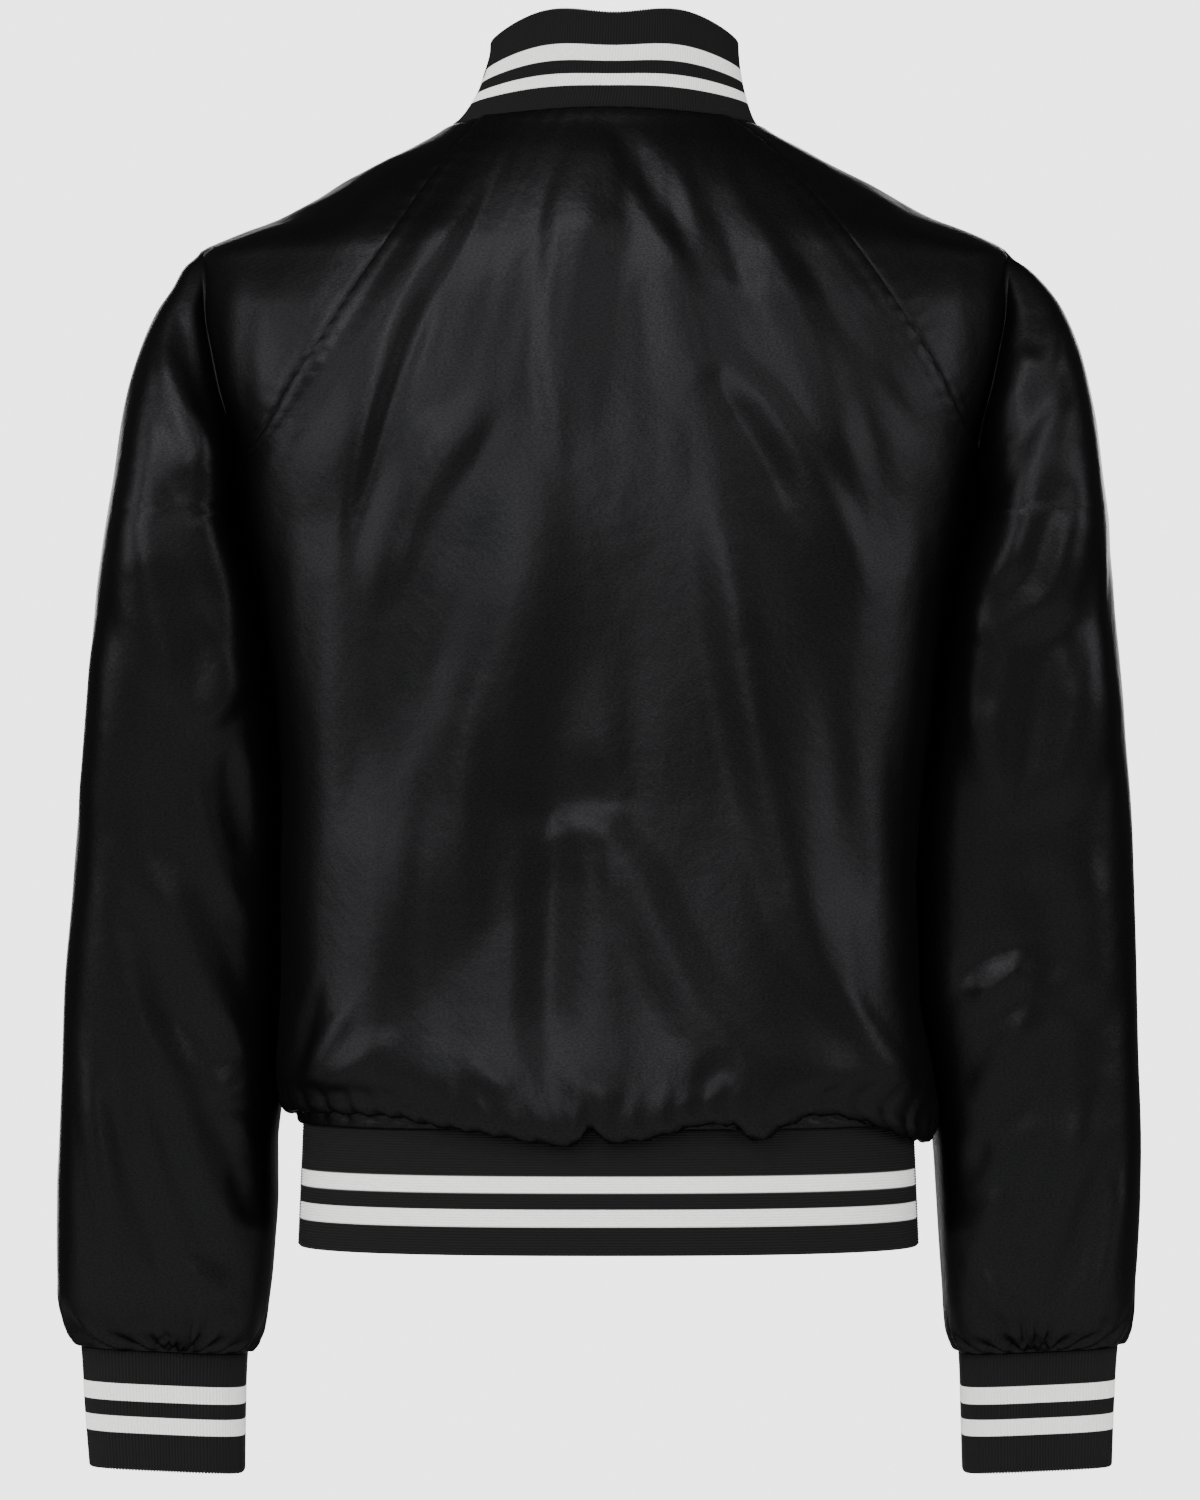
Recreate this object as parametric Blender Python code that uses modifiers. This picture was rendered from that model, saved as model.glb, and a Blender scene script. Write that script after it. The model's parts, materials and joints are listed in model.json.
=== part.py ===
"""Satin baseball jacket in its worn, hollow form: raglan sleeves, knit collar, hem band and cuffs.

Sizes are in millimetres and become metres when a mesh is written. +Z is up, the jacket's front
faces -Y and its left sleeve is at +X. The origin is the middle of the neck, level with the points
where the shoulders meet the collar.
"""
import math

import bmesh
import bpy
import numpy as np
from mathutils import Vector

MM = 0.001
SMALL_TURN = 0.004
HALVINGS = 40                # steps of each search for where two curves cross
NAME = "satin_baseball_jacket"

# Cloth
SATIN_WALL = 1.6
KNIT_WALL = 2.8
SEAM_SETBACK = 0.17          # each panel stops this short of the seam line
SEAM_DIP = 0.5               # a sewn edge is drawn in this much
SEAM_EDGE = 3.0              # the strip beside a seam that the stitches hold flat
HOLD = 26.0                  # folds grow from nothing over this distance from a seam

# Neck: an oval seen from above, cut through the shoulders
NECK_HALF_WIDTH = 88
NECK_BACK = 60
NECK_FRONT = 75
NECK_SQUARE = 2.2
NECK_LOWEST = -110.0         # the neck seam is searched for above this height
NECK_SEAM_BACK = 71          # half-width of the neck seam on the back panel
NECK_SEAM_FRONT = 62         # half-width of the neck seam on both fronts together

# Heights
TIP = -78                    # shoulder tip, where the sleeve starts to hang
UNDERARM = -230
BAND_TOP = -577
BAND_BOTTOM = -649.5
CUFF_TOP = -713
CUFF_BOTTOM = -784

# Front opening
LAP = 15                     # each front reaches this far past the centre line
LAP_GAP = 0.6
LAP_RAMP = 28
LAP_CLEAR = 4
PLACKET_FLAT = 22            # the body doesn't blouse within this distance of the opening
BLOUSE_RAMP = 45
SHALLOW_EDGE = 4             # the blouse starts beside the opening without hanging over
PLAIN_START = 0.4            # the cloth starts this far above the band
PLAIN_RISE = 4.2             # height of each plain step beside the opening
BLOUSE_RISE = 30             # the blouse leaves the body this far above the band
TUCK_FROM = -460             # below this the cloth by the opening draws in towards the band

# Hem band
BAND_HALF_WIDTH = 177
BAND_FLARE = 3
BAND_DEPTH = 111
BAND_SHIFT = -2
BAND_SQUARE = 2.5

# Collar
COLLAR_RISE = 56
COLLAR_LEAN = 16             # how far the top edge leans in at the sides
COLLAR_LEAN_SHARE = 0.5      # part of that lean at the middle of the back and front
COLLAR_LEAN_POWER = 0.75     # below 1, more of the lean comes early in the rise
COLLAR_SIDE_DROP = 0.148     # the top edge is lower by these parts of the rise
COLLAR_FRONT_DROP = 0.12
COLLAR_QUARTER_RISE = 0.08   # and higher by this part between the middle and the sides
COLLAR_SHIFT = -5.5          # the top stands a little to the right
COLLAR_END_GAP = 1.6
COLLAR_SEAT = 0.3

# Press studs
SNAP_RADIUS = 7.5
SNAP_HEIGHT = 2.4
SNAP_HEIGHTS = (-100, -196, -292, -388, -484)
SNAP_RIM = 0.7
SNAP_LIFT = 0.5              # the cap's back clears the curve of the cloth

# Body, level by level
TORSO_COLUMNS = ("height", "half_width", "shift", "back", "front", "square")
TORSO = (
    (12, 68, 0, 56, 44, 2.20),
    (0, 88, 0, 63, 51, 2.20),
    (-23, 129, 0, 79, 60, 2.25),
    (-52, 183, 0, 94, 70, 2.35),
    (-78, 236, 0, 104, 79, 2.60),
    (-110, 234, 0, 113, 91, 3.10),
    (-150, 228, 0, 120, 105, 3.30),
    (-190, 217, 0, 124, 115, 3.20),
    (-230, 211, 0, 125, 120, 3.00),
    (-270, 200, 0, 124, 122, 3.10),
    (-340, 189, 0, 121, 121, 3.10),
    (-400, 182, 3, 118, 120, 3.10),
    (-450, 180, 5, 117, 119, 3.10),
    (-500, 178, 7, 118, 119, 3.10),
    (-535, 181, 4, 121, 121, 2.90),
    (-562, 187, -1, 124, 124, 2.70),
)

# Raglan seams: how far out each lies at a share of the way from the neck to the underarm
RAGLAN_COLUMNS = ("share", "back_left", "back_right", "front")
RAGLAN = (
    (0.00, NECK_SEAM_BACK, NECK_SEAM_BACK, NECK_SEAM_FRONT),
    (0.05, 80, 87, 70),
    (0.15, 98, 109, 88),
    (0.30, 121, 137, 113),
    (0.46, 146, 163, 140),
    (0.65, 174, 190, 172),
    (0.82, 200, 211, 199),
    (0.90, 222, 222, 222),
    (1.00, 223, 223, 223),
)

# Arms, level by level: distances from the middle of the body
ARM_COLUMNS = ("height", "outer_left", "inner_left", "outer_right", "inner_right", "depth", "centre")
ARMS = (
    (-78, 236, 224, 236, 224, 28, 0),
    (-84, 243, 225, 245, 225, 34, 0),
    (-96, 250, 226, 256, 226, 43, 0),
    (-110, 259, 227, 265, 227, 52, 0),
    (-134, 269, 222, 275, 222, 66, 0),
    (-154, 275, 218, 280, 218, 75, 0),
    (-174, 279, 214, 284, 214, 82, 0),
    (-205, 283, 212, 288, 212, 88, 0),
    (-230, 287, 211.8, 291, 211.8, 89, 0),
    (-250, 290, 208, 292, 208, 88, 0),
    (-270, 293, 203.5, 294, 203, 86, -1),
    (-340, 300, 192, 300, 191.5, 79, -7),
    (-400, 305, 187, 305, 181, 72, -15),
    (-450, 309, 187, 308, 177, 68, -21),
    (-500, 314, 187.5, 310, 174, 66, -28),
    (-550, 317, 190.5, 312, 188.5, 64, -35),
    (-572, 318.5, 192, 313, 193.5, 63, -38),
    (-592, 319.5, 192.5, 313.5, 193.5, 62, -40),
    (-620, 320.5, 191.5, 313, 194, 60, -43),
    (-650, 320.5, 193.5, 311.5, 196, 58, -47),
    (-680, 320, 196.5, 309, 198.5, 56, -50),
    (-700, 315, 201, 306.5, 201.5, 49, -52),
    (-708, 311.5, 205, 304, 204.5, 42, -53),
    (-713, 307, 209.5, 300.5, 207.5, 36, -53),
    (-750, 305, 211, 298.5, 209, 35, -57),
    (-784, 302.5, 211.5, 297.5, 210, 33, -59),
)
ARM_SQUARE = 2.8
CUFF_GAP = 0.5
CUFF_TILT = 0.045            # the outer side of each cuff sits a little higher
TILT_FROM = -600
TURN_IN = (-668, -689, -701, -709)     # the last rows of a sleeve, closing in on the cuff

# Lower edge of the bloused body as seen from behind: distance to the left, height from the band
HEM_EDGE_COLUMNS = ("across", "height")
HEM_EDGE_BACK = (
    (-200, -11), (-184, -11), (-150, 1), (-119, 6), (-100, 2), (-84, -6), (-68, 2), (-48, 2),
    (-28, -3), (-12, -5), (8, 2), (28, -6), (45, -7), (65, -2), (99, 4), (140, 6), (200, 6),
)
HEM_EDGE_FRONT = (
    (-200, -8), (-150, 3), (-122, -4), (-92, 4), (-60, 3), (60, 3), (92, 2), (124, -4),
    (160, 4), (200, 6),
)

# The blouse, from its seam on the band to where it joins the body:
# how far out, and how high in parts of the edge's height plus a step
BLOUSE = (
    (-0.6, 0.0, 0.4),
    (1.2, 0.0, 0.9),
    (1.9, 0.5, 0.6),
    (3.8, 1.0, 1.9),
    (7.2, 1.0, 0.0),
    (10.6, 1.0, 2.6),
    (12.6, 1.0, 9.5),
)

# Distances that stand for one step of a grid where folds are held flat beside a seam
COLUMN_PITCH = 15
ROW_PITCH = 14
ROLL_CALM = 0.7              # folds fade over more rows above the roll
PLACKET_CALM = 0.6

# Grid counts
SHOULDER_ROWS = 13
SHOULDER_SPACING = 1.2       # the rows lie closer near the neck
NECK_PULL = 4                # how fast the rows leave the neck's own curve
BODY_ROWS = 11
BACK_COLUMNS = 24
FRONT_COLUMNS = 13
SLEEVE_COLUMNS = 24
YOKE_COLUMNS = 5
ARM_ROWS = 18
COLLAR_COLUMNS = 36
COLLAR_ROWS = 4
BAND_COLUMNS = 44
BAND_ROWS = 2
CUFF_COLUMNS = 26
CUFF_ROWS = 3
GATHER_ROWS = 3
GATHER_SPLITS = 2
GATHERS = 18
GATHER_DEPTH = 2.3
GATHER_REACH = 46
EVEN_REACH = 60              # below the underarm the columns grow even over this height
ARM_LINE = 250               # distance from the body's middle to an arm's
ARM_FORWARD = -26
YOKE_SHARE = 0.03             # least share of the sleeve's round taken by each yoke's columns

# Largest folds: a route of (across, height) in the view from behind or in front, its half-width
# and its depth. Troughs have a negative depth.
BACK_FOLDS = (
    (((112, -100), (124, -150), (137, -195), (148, -262)), 24, -8),
    (((96, -120), (110, -190), (128, -250), (134, -292)), 24, 7),
    (((52, -158), (84, -205), (108, -262), (118, -305)), 34, -11),
    (((44, -150), (58, -215), (72, -285), (96, -345), (106, -390)), 24, 8),
    (((33, -95), (35, -140), (30, -195), (22, -262)), 24, -7),
    (((-66, -130), (-98, -190), (-132, -258), (-154, -302)), 31, -11),
    (((-60, -160), (-70, -235), (-86, -305), (-98, -385)), 26, 8),
    (((-108, -96), (-134, -155), (-156, -212)), 24, 8),
    (((-96, -378), (-112, -440), (-142, -510), (-178, -568)), 26, 11),
    (((40, -372), (14, -364), (-10, -370)), 25, -8),
    (((-2, -400), (-22, -440), (-60, -500), (-96, -548)), 31, 8),
    (((150, -470), (168, -520), (184, -562)), 24, 7),
    (((20, -400), (14, -480), (12, -550)), 31, -9.5),
)
FRONT_FOLDS = (
    (((-60, -110), (-92, -160), (-120, -230), (-134, -300)), 26, -9.5),
    (((-48, -130), (-66, -220), (-84, -300), (-92, -380)), 24, 8),
    (((66, -115), (98, -180), (126, -250)), 24, -9.5),
    (((50, -150), (70, -240), (84, -330)), 24, 8),
    (((-60, -400), (-90, -470), (-140, -550)), 26, 9.5),
    (((64, -420), (100, -490), (150, -556)), 26, 9.5),
    (((-44, -330), (-60, -420), (-70, -520)), 24, -8),
    (((46, -340), (58, -430), (70, -530)), 24, -8),
)
SLEEVE_FOLDS_BACK = (
    (((262, -186), (242, -236), (222, -296)), 30, -9.5),
    (((276, -176), (262, -246), (238, -330)), 25, 8),
    (((226, -348), (246, -330), (268, -326)), 25, -8),
    (((286, -476), (272, -560), (262, -640)), 25, 8),
    (((264, -440), (240, -510), (216, -570)), 27, 9.5),
    (((272, -520), (254, -590), (228, -650)), 25, -8),
    (((196, -540), (226, -528), (238, -545)), 25, -8),
    (((-268, -140), (-250, -190), (-228, -262)), 25, 8),
    (((-282, -170), (-262, -240), (-238, -296)), 25, -8),
    (((-222, -276), (-246, -262), (-266, -236)), 25, 8),
    (((-288, -300), (-268, -350), (-250, -400)), 27, -8),
    (((-262, -330), (-250, -400), (-240, -450)), 27, 8),
    (((-212, -452), (-236, -436), (-256, -452)), 25, -8),
    (((-290, -520), (-270, -590), (-242, -660)), 25, 8),
    (((-204, -588), (-226, -574), (-240, -592)), 25, -8),
)
FOLD_MIRROR_SHIFT = -22      # the fronts of the sleeves fold alike, a little higher or lower

FINISHES = {
    "black_satin": ((0.010, 0.010, 0.011, 1), 0.38, 0),
    "black_rib_knit": ((0.012, 0.012, 0.013, 1), 0.85, 0),
    "black_enamel": ((0.008, 0.008, 0.009, 1), 0.25, 0),
}


# ---------------------------------------------------------------- curves and sections

def smooth_curve(stops, values):
    """Return a smooth function through the stops that doesn't swing past them."""
    stops = np.asarray(stops, float)
    values = np.asarray(values, float)
    if stops[0] > stops[-1]:
        stops, values = stops[::-1], values[::-1]
    steps = np.diff(stops)
    slopes = np.diff(values) / steps
    before, after = slopes[:-1], slopes[1:]
    same_way = before * after > 0
    tangents = np.concatenate(([slopes[0]], np.zeros(len(stops) - 2), [slopes[-1]]))
    harmonic = 2 * before * after / np.where(same_way, before + after, 1)
    tangents[1:-1] = np.where(same_way, harmonic, 0)

    def curve(place):
        place = np.clip(np.asarray(place, float), stops[0], stops[-1])
        low = np.clip(np.searchsorted(stops, place) - 1, 0, len(steps) - 1)
        part = (place - stops[low]) / steps[low]
        rest = 1 - part
        return (values[low] * (1 + 2 * part) * rest ** 2
                + values[low + 1] * (3 - 2 * part) * part ** 2
                + steps[low] * part * rest * (tangents[low] * rest - tangents[low + 1] * part))

    return curve


def read_table(columns, rows):
    """Return one smooth function for each named column, driven by the first column."""
    turned = list(zip(*rows))
    return {name: smooth_curve(turned[0], turned[k]) for k, name in enumerate(columns) if k}


def ease(value):
    """Rise smoothly from 0 to 1 as the value does."""
    value = np.clip(value, 0, 1)
    return value * value * (3 - 2 * value)


def mix(low, high, share):
    return low + (high - low) * share


torso = read_table(TORSO_COLUMNS, TORSO)
raglan = read_table(RAGLAN_COLUMNS, RAGLAN)
arms = read_table(ARM_COLUMNS, ARMS)
hem_edge_back = read_table(HEM_EDGE_COLUMNS, HEM_EDGE_BACK)["height"]
hem_edge_front = read_table(HEM_EDGE_COLUMNS, HEM_EDGE_FRONT)["height"]


def oval(turn, half_width, back, front, square):
    """Point of a squarish oval at an angle from the centre back, positive to the left side."""
    across, along = np.sin(turn), np.cos(turn)
    reach = (np.abs(across) ** square + np.abs(along) ** square) ** (-1 / square)
    return half_width * across * reach, np.where(along > 0, back, front) * along * reach


def torso_point(turn, height):
    x, y = oval(turn, torso["half_width"](height), torso["back"](height),
                torso["front"](height), torso["square"](height))
    sway = torso["shift"](height) * np.sin(turn) ** 2
    return np.stack(np.broadcast_arrays(x + sway, y, height), -1)


def torso_turn(across, height, facing):
    """Angle on the body's left half, at a distance to the left, on the back (1) or front (-1)."""
    square = torso["square"](height)
    share = np.clip(across / torso["half_width"](height), 0, 1)
    rest = (1 - share ** square) ** (1 / square)
    return np.arctan2(share, facing * rest)


def neck_point(angle):
    """Point of the neck seam at an angle of its oval; its height is where the oval cuts the body."""
    x, y = oval(angle, NECK_HALF_WIDTH, NECK_BACK, NECK_FRONT, NECK_SQUARE)
    low = np.full_like(x, NECK_LOWEST)
    high = np.full_like(x, TORSO[0][0], dtype=float)
    for _ in range(HALVINGS):
        middle = (low + high) / 2
        depth = np.where(y > 0, torso["back"](middle), torso["front"](middle))
        square = torso["square"](middle)
        inside = (np.abs(x / torso["half_width"](middle)) ** square
                  + np.abs(y / depth) ** square) < 1
        low = np.where(inside, middle, low)
        high = np.where(inside, high, middle)
    return np.stack([x, y, (low + high) / 2], -1)


def neck_angle(across, facing):
    share = across / NECK_HALF_WIDTH
    rest = (1 - share ** NECK_SQUARE) ** (1 / NECK_SQUARE)
    return math.atan2(share, facing * rest)


NECK_TURN_BACK = neck_angle(NECK_SEAM_BACK, 1)
NECK_TURN_FRONT = neck_angle(NECK_SEAM_FRONT, -1)
NECK_HEIGHT_BACK = float(neck_point(np.array([NECK_TURN_BACK]))[0, 2])
NECK_HEIGHT_FRONT = float(neck_point(np.array([NECK_TURN_FRONT]))[0, 2])


def seam_height(share, facing):
    start = NECK_HEIGHT_BACK if facing > 0 else NECK_HEIGHT_FRONT
    return mix(start, UNDERARM, share)


# ---------------------------------------------------------------- the arm against the body

def arm_sizes(side, height):
    outer = arms["outer_" + side](height)
    inner = arms["inner_" + side](height)
    return (outer + inner) / 2, (outer - inner) / 2, arms["depth"](height), arms["centre"](height)


def arm_oval(angle, middle, half_width, depth, centre):
    """Point of the arm's section: 0 is its outer side, a quarter turn its back."""
    reach = (np.abs(np.cos(angle)) ** ARM_SQUARE
             + np.abs(np.sin(angle)) ** ARM_SQUARE) ** (-1 / ARM_SQUARE)
    return (middle + half_width * np.cos(angle) * reach,
            centre + depth * np.sin(angle) * reach)


def crease(side, height, facing):
    """Angles on the body and on the arm where the two sections cross, behind or in front."""
    middle, half_width, depth, centre = arm_sizes(side, height)
    body_depth = torso["back"](height) if facing > 0 else torso["front"](height)
    body_width = torso["half_width"](height)
    square = torso["square"](height)
    low = np.zeros_like(height)
    high = np.minimum(depth, body_depth) * 0.999
    for _ in range(HALVINGS):
        along = (low + high) / 2
        body = body_width * (1 - (along / body_depth) ** square) ** (1 / square)
        arm = middle - half_width * (1 - (along / depth) ** ARM_SQUARE) ** (1 / ARM_SQUARE)
        overlap = body > arm
        low = np.where(overlap, along, low)
        high = np.where(overlap, high, along)
    along = (low + high) / 2
    body = body_width * (1 - (along / body_depth) ** square) ** (1 / square)
    arm_in = half_width * (1 - (along / depth) ** ARM_SQUARE) ** (1 / ARM_SQUARE)
    on_body = np.arctan2(body / body_width, facing * along / body_depth)
    on_arm = np.arctan2(facing * along / depth, -arm_in / half_width)
    return on_body, on_arm


def seam_turn(side, height, facing):
    """Angle on the body of the raglan seam; low down it runs in the crease under the arm."""
    start = NECK_HEIGHT_BACK if facing > 0 else NECK_HEIGHT_FRONT
    share = np.clip((height - start) / (UNDERARM - start), 0, 1)
    across = raglan["back_" + side if facing > 0 else "front"](share)
    turn = torso_turn(across, height, facing)
    fold, _ = crease(side, np.minimum(height, TIP), facing)
    if facing > 0:
        return np.where(height < TIP, np.minimum(turn, fold), turn)
    return np.where(height < TIP, np.maximum(turn, fold), turn)


def sleeve_ring(side, height, samples=48):
    """Section of a sleeve from its back seam round the outside to its front seam, for the left.

    Above the underarm it takes in the yoke, which lies on the body's form; below, it closes.
    """
    height = np.asarray(height, float)[:, None]
    run = np.linspace(0, 1, samples)[None, :]
    hanging = height < TIP
    level = np.minimum(height, TIP)
    fold_back, arm_back = crease(side, level, 1)
    fold_front, arm_front = crease(side, level, -1)
    start = seam_turn(side, height, 1)
    end = seam_turn(side, height, -1)
    share_back = np.clip(fold_back, start, math.pi / 2)
    share_front = np.clip(fold_front, math.pi / 2, end)
    yoke_back = torso_point(mix(start, share_back, run), height)
    yoke_front = torso_point(mix(share_front, end, run), height)
    x, y = arm_oval(mix(arm_back, arm_front, run), *arm_sizes(side, level))
    arm = np.stack(np.broadcast_arrays(x, y, height), -1)
    over = torso_point(mix(share_back, share_front, run), height)
    middle = np.where(hanging[..., None], arm, over)
    closed = height < UNDERARM
    x, y = arm_oval(mix(math.pi, -math.pi, np.linspace(0, 1, 3 * samples))[None, :],
                    *arm_sizes(side, height))
    tube = np.stack(np.broadcast_arrays(x, y, height), -1)
    ring = np.concatenate([yoke_back, middle, yoke_front], 1)
    ring = np.where(closed[..., None], tube, ring)
    lengths = np.concatenate([np.zeros((len(height), 1)), np.cumsum(
        np.linalg.norm(np.diff(ring, axis=1), axis=2), 1)], 1)
    marks = np.where(closed, 0, lengths[:, samples:samples + 1])
    marks_end = np.where(closed, 0, lengths[:, -1:] - lengths[:, 2 * samples:2 * samples + 1])
    return ring, lengths, marks[:, 0], marks_end[:, 0]


def edge_stations(step, total, width):
    """Place of a column in millimetres: a narrow strip at each sewn edge, even between them."""
    edge = np.minimum(SEAM_EDGE, width / 6)
    inside = mix(edge, width - edge, (step - 1) / (total - 2))
    first = edge * step
    last = width - edge * (total - step)
    return np.where(step < 1, first, np.where(step > total - 1, last, inside))


def sleeve_section(side, step, height):
    """Points of a sleeve, at a column step and a height for each, for the left side."""
    points = np.zeros((len(step), 3))
    levels, place = np.unique(np.round(height, 4), return_inverse=True)
    ring, lengths, yoke_back, yoke_front = sleeve_ring(side, levels)
    evening = ease((UNDERARM - levels) / EVEN_REACH)
    shares = mix(YOKE_SHARE, YOKE_COLUMNS / SLEEVE_COLUMNS, evening)
    stops = (0, 1, YOKE_COLUMNS, SLEEVE_COLUMNS - YOKE_COLUMNS, SLEEVE_COLUMNS - 1, SLEEVE_COLUMNS)
    for k in range(len(levels)):
        mine = place == k
        whole = lengths[k, -1]
        edge = mix(SEAM_EDGE, whole / SLEEVE_COLUMNS, evening[k])
        back = max(yoke_back[k], shares[k] * whole)
        front = whole - max(yoke_front[k], shares[k] * whole)
        along = np.interp(step[mine], stops, (0, edge, back, front, whole - edge, whole))
        for axis in range(3):
            points[mine, axis] = np.interp(along, lengths[k], ring[k, :, axis])
    return points


# ---------------------------------------------------------------- panels in their own steps

def shoulder_share(row):
    """Share of the way down from the neck to the underarm; rows are closer near the neck."""
    return np.clip(row / SHOULDER_ROWS, 0, 1) ** SHOULDER_SPACING


def blend_to_neck(points, neck, at_neck, share):
    """Draw the upper rows of a panel to the neck seam."""
    return points + ((1 - share) ** NECK_PULL)[:, None] * (neck - at_neck)


def sleeve_points(side, step, row):
    """Points of a sleeve's outer face for the left side; the right one is turned over later."""
    share = shoulder_share(row)
    part = step / SLEEVE_COLUMNS
    angle = mix(NECK_TURN_BACK, NECK_TURN_FRONT, part)
    neck = neck_point(angle)
    even = mix(NECK_HEIGHT_BACK, NECK_HEIGHT_FRONT, part)
    height = mix(even, UNDERARM, share) + (1 - share) ** 3 * (neck[:, 2] - even)
    below = np.clip((row - SHOULDER_ROWS) / ARM_ROWS, 0, 1)
    height = np.where(row > SHOULDER_ROWS, arm_height(below), height)
    points = sleeve_section(side, step, height)
    upper = row < SHOULDER_ROWS
    at_neck = sleeve_section(side, step[upper], neck[upper, 2])
    points[upper] = blend_to_neck(points[upper], neck[upper], at_neck, share[upper])
    tilt = CUFF_TILT * ease((TILT_FROM - height) / (TILT_FROM - CUFF_TOP))
    middle = arm_sizes(side, height)[0]
    points[:, 2] += tilt * (points[:, 0] - middle)
    return points


def arm_height(below):
    """Height of an arm row: even rows, then close ones where the cloth turns in to the cuff."""
    stops = (0,) + tuple(1 - (len(TURN_IN) - k) / ARM_ROWS for k in range(len(TURN_IN))) + (1,)
    return np.interp(below, stops, (UNDERARM,) + TURN_IN + (CUFF_TOP,))


def body_height(row):
    """Height of a body row below the underarm, down to the start of the blouse."""
    return mix(UNDERARM, BAND_TOP + BLOUSE_RISE, np.clip((row - SHOULDER_ROWS) / BODY_ROWS, 0, 1))


def band_point(turn, height):
    flare = BAND_FLARE * (BAND_TOP - height) / (BAND_TOP - BAND_BOTTOM)
    x, y = oval(turn, BAND_HALF_WIDTH + flare, BAND_DEPTH + flare, BAND_DEPTH + flare, BAND_SQUARE)
    return np.stack(np.broadcast_arrays(x + BAND_SHIFT * np.sin(turn) ** 2, y, height), -1)


def band_outward(turn):
    """Level direction out of the band at an angle."""
    ahead = band_point(turn + SMALL_TURN, BAND_TOP)
    behind = band_point(turn - SMALL_TURN, BAND_TOP)
    run = ahead - behind
    out = np.stack([-run[:, 1], run[:, 0], np.zeros(len(run))], -1)
    return out / np.linalg.norm(out, axis=1)[:, None]


def blouse_share(points):
    """How fully the cloth blouses: not at all by the opening, where it runs plain to the band."""
    opening = np.where(points[:, 1] < 0, np.abs(points[:, 0]), BAND_HALF_WIDTH)
    return ease((opening - PLACKET_FLAT) / BLOUSE_RAMP)


def blouse_points(turn, step):
    """The roll of cloth that hangs over the band, step 0 being where it leaves the body."""
    seam = band_point(turn, BAND_TOP)
    outward = band_outward(turn)
    back = hem_edge_back(seam[:, 0])
    front = hem_edge_front(seam[:, 0])
    full = blouse_share(seam)
    edge = mix(front, back, ease(seam[:, 1] / 60 + 0.5))
    edge = mix(SHALLOW_EDGE, edge, ease(2 * full - 1))
    count = len(BLOUSE)
    out = np.zeros(len(turn))
    rise = np.zeros(len(turn))
    for k, (reach, part, lift) in enumerate(BLOUSE):
        mine = np.round(count - step).astype(int) == k
        out[mine] = mix(0, reach, full[mine])
        rise[mine] = mix(PLAIN_START + PLAIN_RISE * k, part * edge[mine] + lift, full[mine])
    points = seam + outward * out[:, None]
    points[:, 2] = BAND_TOP + rise
    return points


def body_points(turn_at, neck_at, seam_height_at, row):
    """Points of a body panel's outer face from its turns, neck points and seam heights."""
    share = shoulder_share(row)
    upper = row <= SHOULDER_ROWS
    height = np.where(upper, 0, body_height(row))
    neck = neck_at
    level = seam_height_at(share)
    start = seam_height_at(np.zeros_like(share))
    height = np.where(upper, level + (1 - share) ** 1.6 * (neck[:, 2] - start), height)
    points = torso_point(turn_at(height, row), height)
    at_neck = torso_point(turn_at(neck[:, 2], row * 0), neck[:, 2])
    points[upper] = blend_to_neck(points[upper], neck[upper], at_neck[upper], share[upper])
    rolled = row > SHOULDER_ROWS + BODY_ROWS
    if rolled.any():
        turn = turn_at(height, row)[rolled]
        points[rolled] = blouse_points(turn, row[rolled] - SHOULDER_ROWS - BODY_ROWS)
    return points


def back_points(step, row):
    """The back, from the left seams (step 0) to the right ones."""
    width = 2 * mix(NECK_SEAM_BACK, 210, ease(shoulder_share(row) * 1.4))
    part = edge_stations(step, BACK_COLUMNS, width) / width
    neck = neck_point(mix(NECK_TURN_BACK, -NECK_TURN_BACK, part))

    def turn_at(height, row_at):
        level = seam_height(shoulder_share(row_at), 1)
        left = np.where(row_at > SHOULDER_ROWS, math.pi / 2, seam_turn("left", level, 1))
        right = np.where(row_at > SHOULDER_ROWS, math.pi / 2, seam_turn("right", level, 1))
        return mix(left, -right, part)

    return body_points(turn_at, neck, lambda share: seam_height(share, 1), row)


def front_points(side, step, row):
    """A front, from its side and raglan seam (step 0) to its opening edge, for the left side."""
    sign = 1 if side == "left" else -1
    width = mix(NECK_SEAM_FRONT, 210, ease(shoulder_share(row) * 1.4)) + LAP
    part = edge_stations(step, FRONT_COLUMNS, width) / width
    neck_edge = math.pi + LAP / NECK_HALF_WIDTH
    neck = neck_point(sign * mix(NECK_TURN_FRONT, neck_edge, part))

    def turn_at(height, row_at):
        level = seam_height(shoulder_share(row_at), -1)
        seam = np.where(row_at > SHOULDER_ROWS, math.pi / 2, seam_turn(side, level, -1))
        return sign * mix(seam, math.pi + LAP / torso["half_width"](height), part)

    points = body_points(turn_at, neck, lambda share: seam_height(share, -1), row)
    body = row <= SHOULDER_ROWS + BODY_ROWS
    tuck = np.where(body, torso["front"](points[:, 2]) + opening_depth(points[:, 2]), 0)
    points[:, 1] += tuck * (1 - blouse_share(points))
    if side == "right":
        points[:, 1] += (SATIN_WALL + LAP_GAP) * under_lap(points[:, 0])
    return points


def opening_depth(height):
    """Depth of the front's outer face on the centre line, where it draws in towards the band."""
    tuck = ease((TUCK_FROM - height) / (TUCK_FROM - BAND_TOP - BLOUSE_RISE))
    return -mix(torso["front"](height), BAND_DEPTH, tuck)


def under_lap(across):
    """Where the right side runs beneath the left one at the opening."""
    return ease((across + LAP + LAP_RAMP + LAP_CLEAR) / LAP_RAMP)


# ---------------------------------------------------------------- folds

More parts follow.
